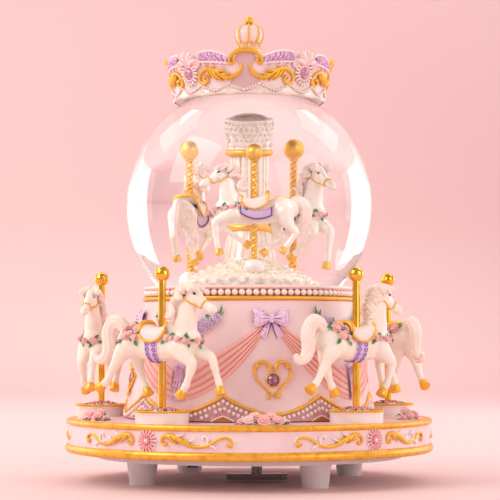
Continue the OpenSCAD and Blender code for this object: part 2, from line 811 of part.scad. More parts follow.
module pin_cylinder() {
    pin_rows = 18;
    color(brass_yellow) translate([key_at[0], cyl_y0, cyl_z])
        rotate([-90, 0, 0]) {
            cylinder(r = cyl_r, h = cyl_len);
            translate([0, 0, -3.5]) cylinder(r = 1.2, h = 3.6);
            translate([0, 0, -5.4]) linear_extrude(2)
                rotate(90) spur_2d(face_pinion_teeth, face_m, 0.5, 0.2);
            translate([0, 0, cyl_len + 0.8]) linear_extrude(1.4)
                spur_2d(fan_wheel_teeth, fan_m, 0.5, 0.08);
            translate([0, 0, cyl_len - 0.01]) cylinder(r = 0.8, h = 5);
            for (i = [0 : pin_rows - 1], k = [0 : 2])
                rotate([0, 0, (i * 137 + k * 97) % 360])
                    translate([cyl_r - 0.2, 0, 0.9 + i * (cyl_len - 1.4) / pin_rows])
                        rotate([0, 90, 0]) cylinder(r = 0.2, h = 0.7, $fn = 16);
        }
}

module governor_fan() {
    color(brass_yellow) translate([fan_x, fan_wheel_y, cyl_z])
        rotate([-90, 0, 0]) {
            translate([0, 0, -9.2]) cylinder(r = 0.8, h = 13.6);
            translate([0, 0, 0]) linear_extrude(1.4)
                rotate(180) spur_2d(fan_pinion_teeth, fan_m, 0, 0.08);
            for (s = [0, 180]) rotate([0, 0, s])
                translate([0.5, -0.25, -7]) cube([2.6, 0.5, 5.5]);
        }
}

module transfer_shaft() {
    bottom = plate_top - bearing_deep + 0.1;
    top = chassis_deck_z + bearing_deep - 0.1;
    color(plastic_white) translate([transfer_at[0], transfer_at[1], 0]) {
        translate([0, 0, bottom]) cylinder(r = shaft_r, h = top - bottom);
        translate([0, 0, wheel_z - 0.5])
            linear_extrude(ring_gear_z + ring_gear_t - wheel_z + 0.5)
                rotate(mesh_angle + 180) spur_2d(pinion_teeth, gear_m, 0.5);
        translate([0, 0, top_gear_z]) linear_extrude(top_gear_t)
            rotate(transfer_angle + 180) spur_2d(top_pinion_teeth, gear_m);
    }
}

magnet_circle_r = 11;

module magnet_driver() {
    color(plastic_white) difference() {
        union() {
            translate([0, 0, top_gear_z]) linear_extrude(top_gear_t)
                rotate(transfer_angle) spur_2d(centre_teeth, gear_m, 0.5);
            translate([0, 0, top_gear_z])
                cylinder(r = shaft_r, h = driver_z - top_gear_z + 1);
            translate([0, 0, chassis_deck_z + chassis_deck_t + 0.1])
                cylinder(r = 4, h = driver_z - chassis_deck_z - chassis_deck_t);
            translate([0, 0, driver_z]) cylinder(r = 16, h = driver_t);
        }
        for (s = [-1, 1]) translate([s * magnet_circle_r, 0, driver_z + 0.5])
            cylinder(r = 3, h = 10);
    }
}

module driver_magnets() {
    color("gray") for (s = [-1, 1])
        translate([s * magnet_circle_r, 0, driver_z + 0.5])
            cylinder(r = 2.95, h = driver_t - 0.5);
}

module led_board() {
    color("seagreen") difference() {
        translate([0, 0, chassis_deck_z + chassis_deck_t])
            cylinder(r = 23.5, h = 1);
        translate([0, 0, chassis_deck_z]) cylinder(r = 17.5, h = 6);
    }
    color("white") ring_of(3, 60)
        translate([0, -20.5, chassis_deck_z + chassis_deck_t + 0.9]) {
            cylinder(r = 1.5, h = 1.5);
            translate([0, 0, 1.5]) sphere(r = 1.5);
        }
}

// ---------------------------------------------------------------- horses

// Sides of a horse's rounded forms
outer_fn = 10;
inner_fn = 8;

// Stations [forward, left, up, radius] from the middle of the barrel
torso_line = [[-14.2, 0, 1.6, 6], [-7, 0, 0.4, 5.7], [0, 0, 0, 6.1],
              [8, 0, 0.8, 6.1], [12.4, 0, 2, 4.7]];
neck_line = [[10.4, 0, 5, 5.2], [11.4, 0, 11, 4.2], [12.4, 0, 18, 3.7]];
head_line = [[13.2, 0, 18.6, 3.7], [17.4, 0, 15.6, 2.8], [21.6, 0, 13.8, 2.5]];
mane_line = [[13.6, 0, 22, 1.8], [9.6, 0, 21.4, 2.3], [6.2, -0.4, 16.6, 2.6],
             [5.2, -0.8, 11, 2.5], [6.4, -0.6, 6.4, 2]];

// Leg stations of a galloping horse: right hind, left hind, right fore, left fore
gallop = [
    [[-14, -2.6, -0.6, 4.6], [-17.4, -3, -4, 3.2], [-20.4, -3.2, -8.8, 2],
     [-23.6, -3.2, -14, 1.7]],
    [[-12.4, 2.6, -1.4, 4.4], [-13.2, 3, -6.6, 2.9], [-12.4, 3.1, -9.6, 2.1],
     [-10.4, 3.1, -14, 1.7]],
    [[9, -2.8, -1.4, 4.2], [15.6, -3.2, -5.8, 2.4], [14, -3.2, -11.4, 1.8],
     [12.2, -3.2, -15.2, 1.7]],
    [[11, 2.8, -0.6, 4], [20, 3.2, -4.2, 2.3], [22, 3.2, -9, 1.8],
     [23.2, 3.2, -13.4, 1.6]]
];
gallop_hooves = [[-25.9, -3.2, -15.6], [-8.8, 3.1, -17.8],
                 [10.2, -3.2, -18.4], [24.1, 3.2, -17.2]];
gallop_tail = [[-18, 0, 6, 2.4], [-22.2, 0, 8.6, 2.8], [-25, 0, 4.4, 2.9],
               [-25.8, 0, -2, 2.7], [-30.6, 0, -6, 1.5]];

// Leg stations of a trotting horse, for the globe
trot = [
    [[-14, -2.6, -0.6, 4.6], [-15, -3, -7, 3], [-19, -3.2, -10, 2],
     [-14.6, -3.2, -16, 1.6]],
    [[-12.4, 2.6, -1.4, 4.4], [-9.4, 3, -7.6, 2.9], [-12.4, 3.1, -12, 1.9],
     [-7.4, 3.1, -16.6, 1.6]],
    [[9, -2.8, -1.4, 4.2], [17.6, -3.2, -5.2, 2.3], [17.2, -3.2, -11.4, 1.7],
     [16.6, -3.2, -17, 1.5]],
    [[11, 2.8, -0.6, 4], [15.4, 3.2, -5.4, 2.3], [9.6, 3.2, -9.6, 1.7],
     [5.2, 3.2, -13.4, 1.5]]
];
trot_hooves = [[-12, -3.2, -19.6], [-4.4, 3.1, -19.6],
               [15.8, -3.2, -21], [1.6, 3.2, -15.8]];
trot_tail = [[-18, 0, 4.6, 2.4], [-21.6, 0, 2.6, 2.8], [-22.4, 0, -4, 2.7],
             [-20.6, 0, -10.4, 1.4]];

module torso(fn, extra = 0) {
    scale([1, 0.88, 1]) limb([for (p = torso_line)
        [p[0], p[1], p[2], p[3] + extra]], fn);
}

module horse(legs, hooves, tail, bore_r, fn) {
    difference() {
        union() {
            torso(fn);
            scale([1, 0.82, 1]) {
                limb(neck_line, fn);
                limb(head_line, fn);
            }
            limb(mane_line, 6);
            limb(tail, 6);
            for (i = [0 : 3]) limb(concat(legs[i], [concat(hooves[i], 2)]), 6);
            for (y = [-1.7, 1.7]) hull() {
                translate([11.6, y, 21.4]) sphere(r = 0.9, $fn = 6);
                translate([11.4, y * 1.15, 24]) sphere(r = 0.35, $fn = 6);
            }
        }
        translate([0, 0, -40]) cylinder(r = bore_r, h = 80, $fn = 16);
    }
}

// A crescent seat over the back, rising to a cantle behind and a pommel before
module saddle(bore_r, fn) {
    half_w = 6.3;
    difference() {
        rotate([90, 0, 0]) linear_extrude(2 * half_w, center = true)
            difference() {
                translate([-3.9, 8.2]) circle(r = 6.8, $fn = 16);
                translate([-3.4, 15.2]) circle(r = 8.2, $fn = 18);
            }
        torso(fn, 0.1);
        translate([0, 0, -40]) cylinder(r = bore_r, h = 80, $fn = 16);
        for (s = [-1, 1]) translate([-15, s * (half_w + 3.4), 11])
            rotate([0, 90, 0]) cylinder(r = 5.2, h = 30, $fn = 16);
    }
}

// A broad strap round the barrel, under the saddle
module girth(bore_r, fn) {
    difference() {
        intersection() {
            torso(fn, 0.6);
            translate([-6.2, -10, -10]) cube([5.6, 20, 10.6]);
        }
        torso(fn, 0.1);
        translate([0, 0, -40]) cylinder(r = bore_r, h = 80, $fn = 16);
    }
}

module outer_place(i) {
    at_azimuth(outer_azimuth + i * 360 / outer_count, outer_circle_r,
               deck_z + horse_h) children();
}

module outer_horse(i) {
    color(horse_white) outer_place(i)
        horse(gallop, gallop_hooves, gallop_tail, pole_r + 0.15, outer_fn);
}

module outer_saddles() {
    color(rose_paint) for (i = [0 : outer_count - 1]) outer_place(i) {
        saddle(pole_r + 0.15, outer_fn);
        girth(pole_r + 0.15, outer_fn);
    }
}

module inner_place(i) {
    at_azimuth(inner_azimuths[i], inner_circle_r, inner_horse_z)
        mirror([1, 0, 0]) scale(inner_scale) children();
}

inner_bore_r = (inner_pole_r + 0.12) / inner_scale;

module inner_horse(i) {
    color(horse_white) inner_place(i)
        horse(trot, trot_hooves, trot_tail, inner_bore_r, inner_fn);
}

module inner_saddles() {
    color(lilac_paint) for (i = [0 : 2]) inner_place(i)
        saddle(inner_bore_r, inner_fn);
}

// ---------------------------------------------------------------- inner carousel

module inner_mound() {
    color(resin_white) difference() {
        union() {
            translate([0, 0, mound_hub_z])
                cylinder(r1 = mound_r - 3, r2 = mound_r - 0.8,
                         h = mound_z - mound_hub_z + 0.01);
            translate([0, 0, mound_z])
                cylinder(r1 = mound_r - 0.8, r2 = mound_r, h = 2.2);
            translate([0, 0, mound_z + 2.19])
                cylinder(r1 = mound_r, r2 = inner_circle_r + 3, h = 2.4);
            translate([0, 0, mound_z + 4.58])
                cylinder(r1 = inner_circle_r + 3, r2 = 12,
                         h = mound_top - mound_z - 4.58);
            for (a = inner_azimuths) at_azimuth(a, inner_circle_r, inner_ground - 0.6)
                sphere(r = 3.1);
        }
        translate([0, 0, mound_hub_z - 1])
            cylinder(r = pin_r + run_gap, h = mound_z + 3.1 - mound_hub_z + 1);
        for (s = [-1, 1]) translate([s * magnet_circle_r, 0, mound_hub_z - 1])
            cylinder(r = 3, h = 3.5);
        for (a = inner_azimuths) at_azimuth(a, inner_circle_r, mound_z + 1.5)
            cylinder(r = inner_pole_r, h = 20);
    }
}

module follower_magnets() {
    color("gray") for (s = [-1, 1])
        translate([s * magnet_circle_r, 0, mound_hub_z])
            cylinder(r = 2.95, h = 2.5);
}

// Fluted column on a spreading foot, with a carved capital
column_foot_h = 9.7;
column_shaft_r = 5.6;
capital_h = 9.6;

module column() {
    shaft_z = column_z + column_foot_h;
    color(resin_white) {
        difference() {
            translate([0, 0, column_z])
                cylinder(r1 = 8.2, r2 = 6.2, h = column_foot_h);
            ring_of(16) translate([0, -8.4, column_z + 1.6]) rotate([-8.7, 0, 0])
                cylinder(r = 0.6, h = column_foot_h);
        }
        difference() {
            translate([0, 0, shaft_z])
                cylinder(r = column_shaft_r, h = column_top - capital_h - shaft_z);
            ring_of(12) translate([0, -column_shaft_r - 0.15, shaft_z + 1.6])
                cylinder(r = 0.6, h = column_top - capital_h - shaft_z - 3);
        }
        difference() {
            translate([0, 0, column_top - capital_h])
                cylinder(r1 = 6.6, r2 = 7.3, h = capital_h);
            ring_of(8, 22.5) translate([0, -7.6, column_top - capital_h + 2])
                cylinder(r = 0.9, h = capital_h - 4);
        }
    }
}

module column_rings() {
    bead_r = 0.8;
    color(gold_paint)
        for (z = [column_z + column_foot_h + bead_r + 0.05,
                  column_top - capital_h - bead_r - 0.05])
            translate([0, 0, z]) rotate_extrude()
                translate([column_shaft_r + bead_r + 0.1, 0])
                    circle(r = bead_r, $fn = 24);
}

module inner_poles() {
    color(gold_paint) for (a = inner_azimuths)
        at_azimuth(a, inner_circle_r, mound_z + 1.5) {
            cylinder(r = inner_pole_r, h = inner_pole_top - mound_z - 1.5);
            translate([0, 0, inner_pole_top - mound_z - 1.5])
                sphere(r = finial_r);
        }
}

// ---------------------------------------------------------------- turntable

band_t = 4;                 // wall of the band round the deck

module turntable() {
    collar_t = 2.2;
    collar_h = 3.4;
    color(resin_white) difference() {
        union() {
            translate([0, 0, deck_z - deck_t])
                cylinder(r = band_r - band_t - 0.05, h = deck_t);
            // collar inside the rib that the deck glides on
            translate([0, 0, deck_z - deck_t - collar_h])
                cylinder(r = glide_r - 0.2, h = collar_h + 1);
        }
        translate([0, 0, deck_bottom - 1])
            cylinder(r = glide_r - 0.2 - collar_t, h = turntable_h - deck_t + 1);
        translate([0, 0, deck_bottom - 1])
            cylinder(r = bore_r, h = turntable_h + 2);
        for (i = [0 : outer_count - 1])
            at_azimuth(outer_azimuth + i * 360 / outer_count, outer_circle_r,
                       deck_z - 2)
                cylinder(r = pole_r, h = 4);
    }
}

// The moulded band fitted round the deck
module rim_band() {
    color(resin_white) difference() {
        union() {
            translate([0, 0, deck_bottom])
                cylinder(r = band_r, h = turntable_h);
            translate([0, 0, deck_bottom + 1.8]) rotate_extrude()
                translate([band_r - 0.2, 0]) circle(r = 1.8);
            translate([0, 0, deck_z - 1.15]) rotate_extrude()
                translate([band_r + 0.05, 0]) circle(r = 1.15);
        }
        translate([0, 0, deck_bottom - 1])
            cylinder(r = band_r - band_t, h = turntable_h + 2);
    }
}

// The ring gear hangs under the deck from its own wall
module ring_gear() {
    root = internal_root(ring_teeth, gear_m);
    wall_r = [root + 0.8, ring_r + 4];
    top = deck_z - deck_t - ring_gear_z;
    color(plastic_white) translate([0, 0, ring_gear_z]) {
        rotate_extrude() polygon([
            [root, 0], [wall_r[1], 0], [wall_r[1], top],
            [wall_r[0], top], [wall_r[0], ring_gear_t], [root, ring_gear_t]]);
        linear_extrude(ring_gear_t) rotate(ring_angle)
            internal_teeth_2d(ring_teeth, gear_m);
    }
}

// Running scrolls round the wall, each pair growing from a rosette
module rim_ornaments() {
    mid_z = deck_bottom + 7.3;
    arc_r = 3.2;
    color(gold_paint) ring_of(outer_count, outer_azimuth) {
        for (s = [-1, 1], i = [0 : 3])
            at_azimuth(s * (7 + 5.6 * i), band_r + 0.7,
                       mid_z + (i % 2 == 0 ? -1.1 : 1.1))
                rotate([90, 0, 0]) rotate([0, 0, i % 2 == 0 ? 25 : 205])
                    rotate_extrude(angle = 130)
                        translate([arc_r - 0.3 * i, 0])
                            circle(r = 0.62 - 0.05 * i, $fn = 20);
    }
    color(rose_paint) ring_of(outer_count, outer_azimuth)
        translate([0, -(band_r + 0.15), mid_z]) rotate([90, 0, 0]) {
            cylinder(r = 2.4, h = 0.9);
            ring_of(12) translate([0, -3, 0]) cylinder(r = 0.75, h = 0.7);
            cylinder(r = 1.1, h = 1.3);
        }
}

module pedestals() {
    color(resin_white) for (i = [0 : outer_count - 1])
        at_azimuth(outer_azimuth + i * 360 / outer_count, outer_circle_r, deck_z)
            difference() {
                union() {
                    cylinder(r = pedestal_r, h = pedestal_h - 0.6);
                    translate([0, 0, pedestal_h - 0.9])
                        cylinder(r = pedestal_r + 0.25, h = 0.5);
                    translate([0, 0, pedestal_h - 0.7])
                        cylinder(r1 = 6, r2 = 3.4, h = 1.7);
                }
                translate([0, 0, -1]) cylinder(r = pole_r, h = pedestal_h + 4);
            }
}

module outer_poles() {
    color(gold_paint) for (i = [0 : outer_count - 1])
        at_azimuth(outer_azimuth + i * 360 / outer_count, outer_circle_r,
                   deck_z - 2) {
            cylinder(r = pole_r, h = pole_h + 2);
            translate([0, 0, pole_h + 2]) sphere(r = finial_r);
        }
}

module rose_clusters() {
    color(rose_paint) ring_of(outer_count, outer_azimuth + 36)
        for (p = [[-5.4, 66.2, 1.7], [0, 67.4, 2.1], [5.4, 66.2, 1.7],
                  [-2.2, 62.6, 1.6], [2.6, 62.8, 1.6]])
            at_azimuth(p[0], p[1] / 63 * outer_circle_r, deck_z + 0.02)
                difference() {
                    translate([0, 0, p[2] * 0.45]) sphere(r = p[2]);
                    translate([-5, -5, -10]) cube([10, 10, 10]);
                }
}

bottom_plate();
feet();
screws();
battery_door();
battery_cells();
chassis();
drum_shell();
drum_trim();
drum_pearls();
drapery();
ribbon_bows();
heart_frames();
heart_gems();
wall_bouquets();
glass_globe();
globe_stopper();
pivot_pin();
crown_canopy();
crown_scrolls();
crown_leaves();
gem_frames();
crown_gems();
finial_crown();
movement_bedplate();
spring_housing();
mainspring();
comb();
led_board();
switch_body();
switch_knob();
winding_key();
winding_arbor();
pin_cylinder();
governor_fan();
transfer_shaft();
magnet_driver();
driver_magnets();
inner_mound();
column();
column_rings();
inner_poles();
for (i = [0 : 2])
    inner_horse(i);
inner_saddles();
follower_magnets();
turntable();
rim_band();
ring_gear();
rim_ornaments();
pedestals();
outer_poles();
for (i = [0 : outer_count - 1])
    outer_horse(i);
outer_saddles();
rose_clusters();
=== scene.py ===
import bmesh
import bpy
from math import asin, atan2, cos, degrees, hypot, pi, radians, sin, sqrt, tau
from mathutils import Matrix, Vector
from mathutils.bvhtree import BVHTree


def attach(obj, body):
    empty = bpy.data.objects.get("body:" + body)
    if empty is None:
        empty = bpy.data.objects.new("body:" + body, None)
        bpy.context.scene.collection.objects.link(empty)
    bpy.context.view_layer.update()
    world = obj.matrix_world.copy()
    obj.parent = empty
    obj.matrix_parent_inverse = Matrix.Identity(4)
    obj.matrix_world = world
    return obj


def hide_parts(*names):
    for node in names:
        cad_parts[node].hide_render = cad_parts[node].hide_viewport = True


# Carousel music box. Shapes are modelled in millimetres and become metres in
# piece(). An azimuth is measured in degrees from the front (-Y) towards +X.
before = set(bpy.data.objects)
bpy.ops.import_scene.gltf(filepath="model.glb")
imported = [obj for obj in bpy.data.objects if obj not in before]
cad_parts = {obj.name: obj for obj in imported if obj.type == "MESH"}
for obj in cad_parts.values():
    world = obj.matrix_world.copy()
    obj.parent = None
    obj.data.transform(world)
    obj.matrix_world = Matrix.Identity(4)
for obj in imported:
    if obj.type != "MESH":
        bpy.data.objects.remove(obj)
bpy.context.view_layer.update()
MM = 0.001

# Levels and radii of the CAD model that the dress is fitted to
DECK_Z = 25.2
DRUM_Z = 25.6
DRUM_RING_Z = 72.0
LIP_Z = 76.4
DRUM_TOP_R = 42.3
DRUM_FLARE = 0.175
DRUM_AZIMUTH = 11.0
SCALLOPS = 8
HEM_LOW = 28.2
HEM_HIGH = 35.4
HEM_POWER = 1.7
BAND_R = 72.8
RIM_LOW_Z = 15.3
RIM_HIGH_Z = 22.75
BOW_Z = 64.8
HEART_Z = 41.8
RIM_MIDDLE = 19.1
FRONTS = 4                           # times that the drum and the crown repeat their ornament
QUARTER = 360 / FRONTS


# ---------------------------------------------------------------- shader sums

class Value:
    """A shader socket that takes part in sums as a number does."""

    def __init__(self, finish, socket):
        self.finish = finish
        self.socket = socket

    def sum(self, operation, first, second=0.0):
        return self.finish.node("Math", {"operation": operation}, {0: first, 1: second})

    def __add__(self, other):
        return self.sum("ADD", self, other)

    def __sub__(self, other):
        return self.sum("SUBTRACT", self, other)

    def __mul__(self, other):
        return self.sum("MULTIPLY", self, other)

    def __truediv__(self, other):
        return self.sum("DIVIDE", self, other)

    def __pow__(self, other):
        return self.sum("POWER", self, other)

    def __gt__(self, other):
        return self.sum("GREATER_THAN", self, other)

    def __lt__(self, other):
        return self.sum("LESS_THAN", self, other)

    def __abs__(self):
        return self.sum("ABSOLUTE", self)

    def __radd__(self, other):
        return self.sum("ADD", other, self)

    def __rsub__(self, other):
        return self.sum("SUBTRACT", other, self)

    def __rmul__(self, other):
        return self.sum("MULTIPLY", other, self)

    def between(self, low, high):
        """0 up to low, 1 from high on, and a soft step between them."""
        return self.finish.node("MapRange", {"interpolation_type": "SMOOTHSTEP"},
                                {0: self, 1: low, 2: high})


class Finish:
    """A material or a world, and the few kinds of node that its look is built from."""

    def __init__(self, name, world=None):
        self.owner = world or bpy.data.materials.new(name)
        self.owner.use_nodes = True
        self.tree = self.owner.node_tree
        self.tree.nodes.clear()
        if not world:
            place = self.node("TexCoord", out="Object")
            self.point = self.node("VectorMath", {"operation": "SCALE"}, {0: place, 3: 1 / MM})

    def node(self, kind, settings=None, sockets=None, out=0):
        node = self.tree.nodes.new("ShaderNode" + kind)
        for name, setting in (settings or {}).items():
            if name == "stops":
                for at, colour in setting[1:-1]:
                    node.color_ramp.elements.new(at)
                for element, (at, colour) in zip(node.color_ramp.elements, setting):
                    element.position = at
                    element.color = colour
            else:
                setattr(node, name, setting)
        for name, value in (sockets or {}).items():
            if isinstance(value, Value):
                self.tree.links.new(value.socket, node.inputs[name])
            else:
                node.inputs[name].default_value = value
        return Value(self, node.outputs[out]) if len(node.outputs) else None

    def axes(self):
        """The point's x, y and z in millimetres."""
        parts = self.node("SeparateXYZ", None, {0: self.point})
        return parts, *(Value(self, parts.socket.node.outputs[i]) for i in (1, 2))

    def noise(self, size, detail=2.0, stretch=(1, 1, 1)):
        """Cloudy noise from 0 to 1 whose patches are about size millimetres."""
        place = self.node("Mapping", None, {0: self.point, 3: stretch})
        return self.node("TexNoise", None, {"Vector": place, "Scale": 1 / size, "Detail": detail})

    def cells(self, size, feature="F1"):
        """Distance to the nearest of scattered points about size millimetres apart."""
        return self.node("TexVoronoi", {"feature": feature},
                         {"Vector": self.point, "Scale": 1 / size})

    def crease_shade(self, reach, gain=1.6):
        """1 in creases narrower than reach millimetres, 0 on open surfaces: the mask for painted
        shade in creases.
        """
        open_sky = self.node("AmbientOcclusion", {"samples": 6, "only_local": True},
                             {"Distance": reach * MM}, out="AO")
        return ((1 - open_sky) * gain).between(0.15, 1.15)

    def painted_on(self, name):
        """A number painted on the piece's points."""
        return self.node("Attribute", {"attribute_name": name}, out="Fac")

    def mix(self, amount, first, second):
        return self.node("Mix", {"data_type": "RGBA"}, {0: amount, 6: first, 7: second}, out=2)

    def bump(self, height, depth, strength=1.0):
        return self.node("Bump", None, {"Height": height, "Distance": depth * MM,
                                        "Strength": strength})

    def gloss(self, colour, roughness, normal=None, **sockets):
        """The main shader. Words of sockets are joined by _ in sockets."""
        values = {"Base Color": colour, "Roughness": roughness}
        values.update({name.replace("_", " "): value for name, value in sockets.items()})
        if normal:
            values["Normal"] = normal
        return self.node("BsdfPrincipled", None, values)

    def show(self, shader):
        self.node("OutputMaterial", None, {"Surface": shader})
        return self.owner


def tint(red, green, blue):
    """A colour from its 0 to 255 screen values."""
    return tuple((c / 255) ** 2.2 for c in (red, green, blue)) + (1.0,)


def paint(name, colour, shade, roughness=0.4, reach=1.5, gain=1.5, **sockets):
    """A brushed coat of paint: colour on the heights, and the colour shade in the recesses as
    painted shade, with random mottling.
    """
    finish = Finish(name)
    cloud = finish.noise(6.0, 3.0)
    shaded_and_mottled = finish.mix(finish.crease_shade(reach, gain) * 0.75 + cloud.between(0.45, 0.8) * 0.25,
                        colour, shade)
    brush = finish.noise(0.35, 3.0)
    return finish.show(finish.gloss(
        shaded_and_mottled, roughness + (cloud - 0.5) * 0.12,
        finish.bump(brush * 0.5 + finish.noise(1.6) * 0.5, 0.09, 0.5), **sockets))


# ---------------------------------------------------------------- finishes

def gold_paint():
    finish = Finish("gold_paint")
    wear = finish.noise(3.0, 4.0)
    # Dark brown in the creases is painted shade; the wear noise mixed in is real wear of the gilt.
    crease_shade_mix = finish.crease_shade(1.2, 1.5) * 0.85 + wear.between(0.5, 0.85) * 0.25
    colour = finish.mix(crease_shade_mix, tint(252, 192, 72), tint(170, 84, 14))
    return finish.show(finish.gloss(
        colour, 0.26 + wear * 0.2, finish.bump(finish.noise(0.8, 3.0), 0.12, 0.5), Metallic=0.5,
        Specular_IOR_Level=0.6))


def polished_gold():
    finish = Finish("polished_gold")
    haze = finish.noise(4.0, 3.0)
    return finish.show(finish.gloss(
        finish.mix(haze.between(0.4, 0.8), tint(250, 196, 84), tint(236, 168, 44)),
        0.1 + haze * 0.08, finish.bump(finish.noise(2.5), 0.03, 0.4), Metallic=1.0))


def satin_gold():
    finish = Finish("satin_gold")
    haze = finish.noise(1.2, 3.0)
    # Darker gold in the creases: painted shade.
    crease_shade_mix = finish.crease_shade(0.9, 1.6)
    return finish.show(finish.gloss(
        finish.mix(crease_shade_mix, tint(250, 200, 100), tint(186, 110, 22)), 0.34 + haze * 0.12,
        finish.bump(haze, 0.05, 0.5), Metallic=0.75))


def pearl(name, colour, shade):
    finish = Finish(name)
    lustre = finish.noise(5.0, 2.0)
    # The colour shade in the creases is painted shade.
    crease_shade_mix = finish.crease_shade(1.0, 1.1)
    # Whiter patches where lustre is high stand in for the pearl's sheen: painted sheen.
    sheen_patched = finish.mix(lustre.between(0.3, 0.8) * 0.5, colour, tint(255, 240, 234))
    return finish.show(finish.gloss(
        finish.mix(crease_shade_mix * 0.7, sheen_patched, shade), 0.24 + lustre * 0.08, Metallic=0.12,
        Coat_Weight=0.7, Coat_Roughness=0.12))


def glitter_paint():
    """Pearl white strewn with pale gold, green and pink."""
    finish = Finish("mound_paint")
    colour = finish.mix(finish.noise(1.3, 2.0).between(0.55, 0.62), tint(255, 249, 240),
                        tint(246, 222, 164))
    colour = finish.mix(finish.noise(1.7, 2.0, (1, 1.4, 1)).between(0.6, 0.66), colour,
                        tint(206, 224, 190))
    colour = finish.mix(finish.noise(2.1, 2.0, (1.3, 1, 1)).between(0.58, 0.66), colour,
                        tint(254, 214, 212))
    # Tan in the creases: painted shade.
    colour = finish.mix(finish.crease_shade(0.8, 1.2) * 0.7, colour, tint(214, 178, 142))
    spark = finish.cells(0.5)
    return finish.show(finish.gloss(colour, 0.3 - spark.between(0.2, 0.6) * 0.15,
                                    finish.bump(spark, 0.15, 0.5), Coat_Weight=0.6))


def drum_paint():
    """Lip, band, wall and the ground below the hem, told apart by height and azimuth."""
    finish = Finish("drum_paint")
    x, y, z = finish.axes()
    turn = finish.node("Math", {"operation": "ARCTAN2"}, {0: x, 1: 0 - y}) * (SCALLOPS / tau)
    turn = turn - DRUM_AZIMUTH * SCALLOPS / 360 + 100.0
    across = abs(finish.node("Math", {"operation": "FRACT"}, {0: turn}) * 2 - 1)
    hem = HEM_HIGH - (HEM_HIGH - HEM_LOW) * (1 - (1 - across) ** HEM_POWER)
    cloud = finish.noise(14.0, 3.0)
    speck = finish.noise(2.4, 4.0)
    wall = finish.mix(cloud.between(0.3, 0.75), tint(250, 224, 226), tint(245, 210, 214))
    # The wall is painted lighter towards its top.
    wall = finish.mix((z - 52).between(0, 22) * 0.5, wall, tint(252, 232, 232))
    ground = finish.mix(speck.between(0.35, 0.7), tint(222, 168, 170), tint(204, 142, 146))
    wall = finish.mix(z < hem, wall, ground)
    ring = finish.mix(speck.between(0.3, 0.8), tint(250, 180, 166), tint(244, 152, 138))
    wall = finish.mix(z > DRUM_RING_Z - 0.2, wall, ring)
    wall = finish.mix(z > LIP_Z + 0.7, wall, tint(254, 242, 236))
    # Darker pink in the creases: painted shade.
    crease_shade_mix = finish.crease_shade(2.0, 1.2)
    return finish.show(finish.gloss(
        finish.mix(crease_shade_mix * 0.5, wall, tint(220, 148, 148)), 0.36 + cloud * 0.1,
        finish.bump(speck, 0.1, 0.35), Coat_Weight=0.15, Coat_Roughness=0.3))


def rim_paint():
    """Gold mouldings above and below, pink-white resin between them."""
    finish = Finish("rim_paint")
    x, y, z = finish.axes()
    out = finish.node("VectorMath", {"operation": "LENGTH"},
                      {0: finish.node("CombineXYZ", None, {0: x, 1: y})}, out="Value")
    gilt = ((z < RIM_LOW_Z) + (z > RIM_HIGH_Z)) * (out > BAND_R - 3.2)
    cloud = finish.noise(9.0, 3.0)
    wear = finish.noise(2.6, 4.0)
    resin = finish.mix(cloud.between(0.3, 0.75), tint(250, 230, 234), tint(245, 214, 222))
    # Darker pink in the creases of the resin: painted shade.
    resin = finish.mix(finish.crease_shade(2.0, 1.1) * 0.5, resin, tint(226, 160, 164))
    gold = finish.mix(wear.between(0.4, 0.85), tint(255, 194, 74), tint(226, 146, 36))
    return finish.show(finish.gloss(
        finish.mix(gilt, resin, gold), 0.42 - gilt * 0.12 + wear * 0.06,
        finish.bump(wear + finish.noise(14.0), 0.2, 0.5), Metallic=gilt * 0.5))


def cloth_paint(name, high, low):
    """Paint with painted light and shade along the folds: the attribute fold, painted on the piece,
    is high on lit ridges and low in shaded valleys.
    """
    finish = Finish(name)
    fold = finish.painted_on("fold")
    cloud = finish.noise(5.0, 3.0)
    colour = finish.mix((fold + (cloud - 0.5) * 0.25).between(0.0, 1.0), low, high)
    # Painted shade in the creases.
    colour = finish.mix(finish.crease_shade(1.2, 1.2) * 0.45, colour, low)
    return finish.show(finish.gloss(
        colour, 0.36 + cloud * 0.1, finish.bump(finish.noise(0.9, 3.0), 0.05, 0.4),
        Coat_Weight=0.2, Coat_Roughness=0.3))


def brushed(name, light, dark, line):
    """Two tones with dark strokes brushed along the folds."""
    finish = Finish(name)
    fold = finish.painted_on("fold")
    blot = finish.noise(1.1, 4.0)
    colour = finish.mix(blot.between(0.35, 0.65), light, dark)
    stroke = (fold + (blot - 0.5) * 0.3).between(0.58, 0.82)
    colour = finish.mix(stroke, colour, line)
    return finish.show(finish.gloss(
        colour, 0.38, finish.bump(blot, 0.08, 0.5), Coat_Weight=0.15))


def glass(name, ior):
    """Clear glass whose shadow is open, so that what stands in it is lit."""
    finish = Finish(name)
    ripple = finish.noise(40.0, 1.0)
    clear = finish.node("BsdfPrincipled", None, {
        "Base Color": (1.0, 0.985, 0.985, 1.0), "Roughness": 0.0, "IOR": ior,
        "Transmission Weight": 1.0, "Normal": finish.bump(ripple, 0.004, 0.2)})
    shadow = finish.node("LightPath", out="Is Shadow Ray")
    open_way = finish.node("BsdfTransparent", None, {0: (0.99, 0.97, 0.97, 1.0)})
    return finish.show(finish.node("MixShader", None, {0: shadow, 1: clear, 2: open_way}))


def gem_glass(name, colour, shade):
    finish = Finish(name)
    spark = finish.cells(1.1)
    colour = finish.mix(spark.between(0.15, 0.6), colour, shade)
    return finish.show(finish.gloss(colour, 0.04, IOR=2.0, Coat_Weight=1.0,
                                    Coat_Roughness=0.03, Transmission_Weight=0.25))


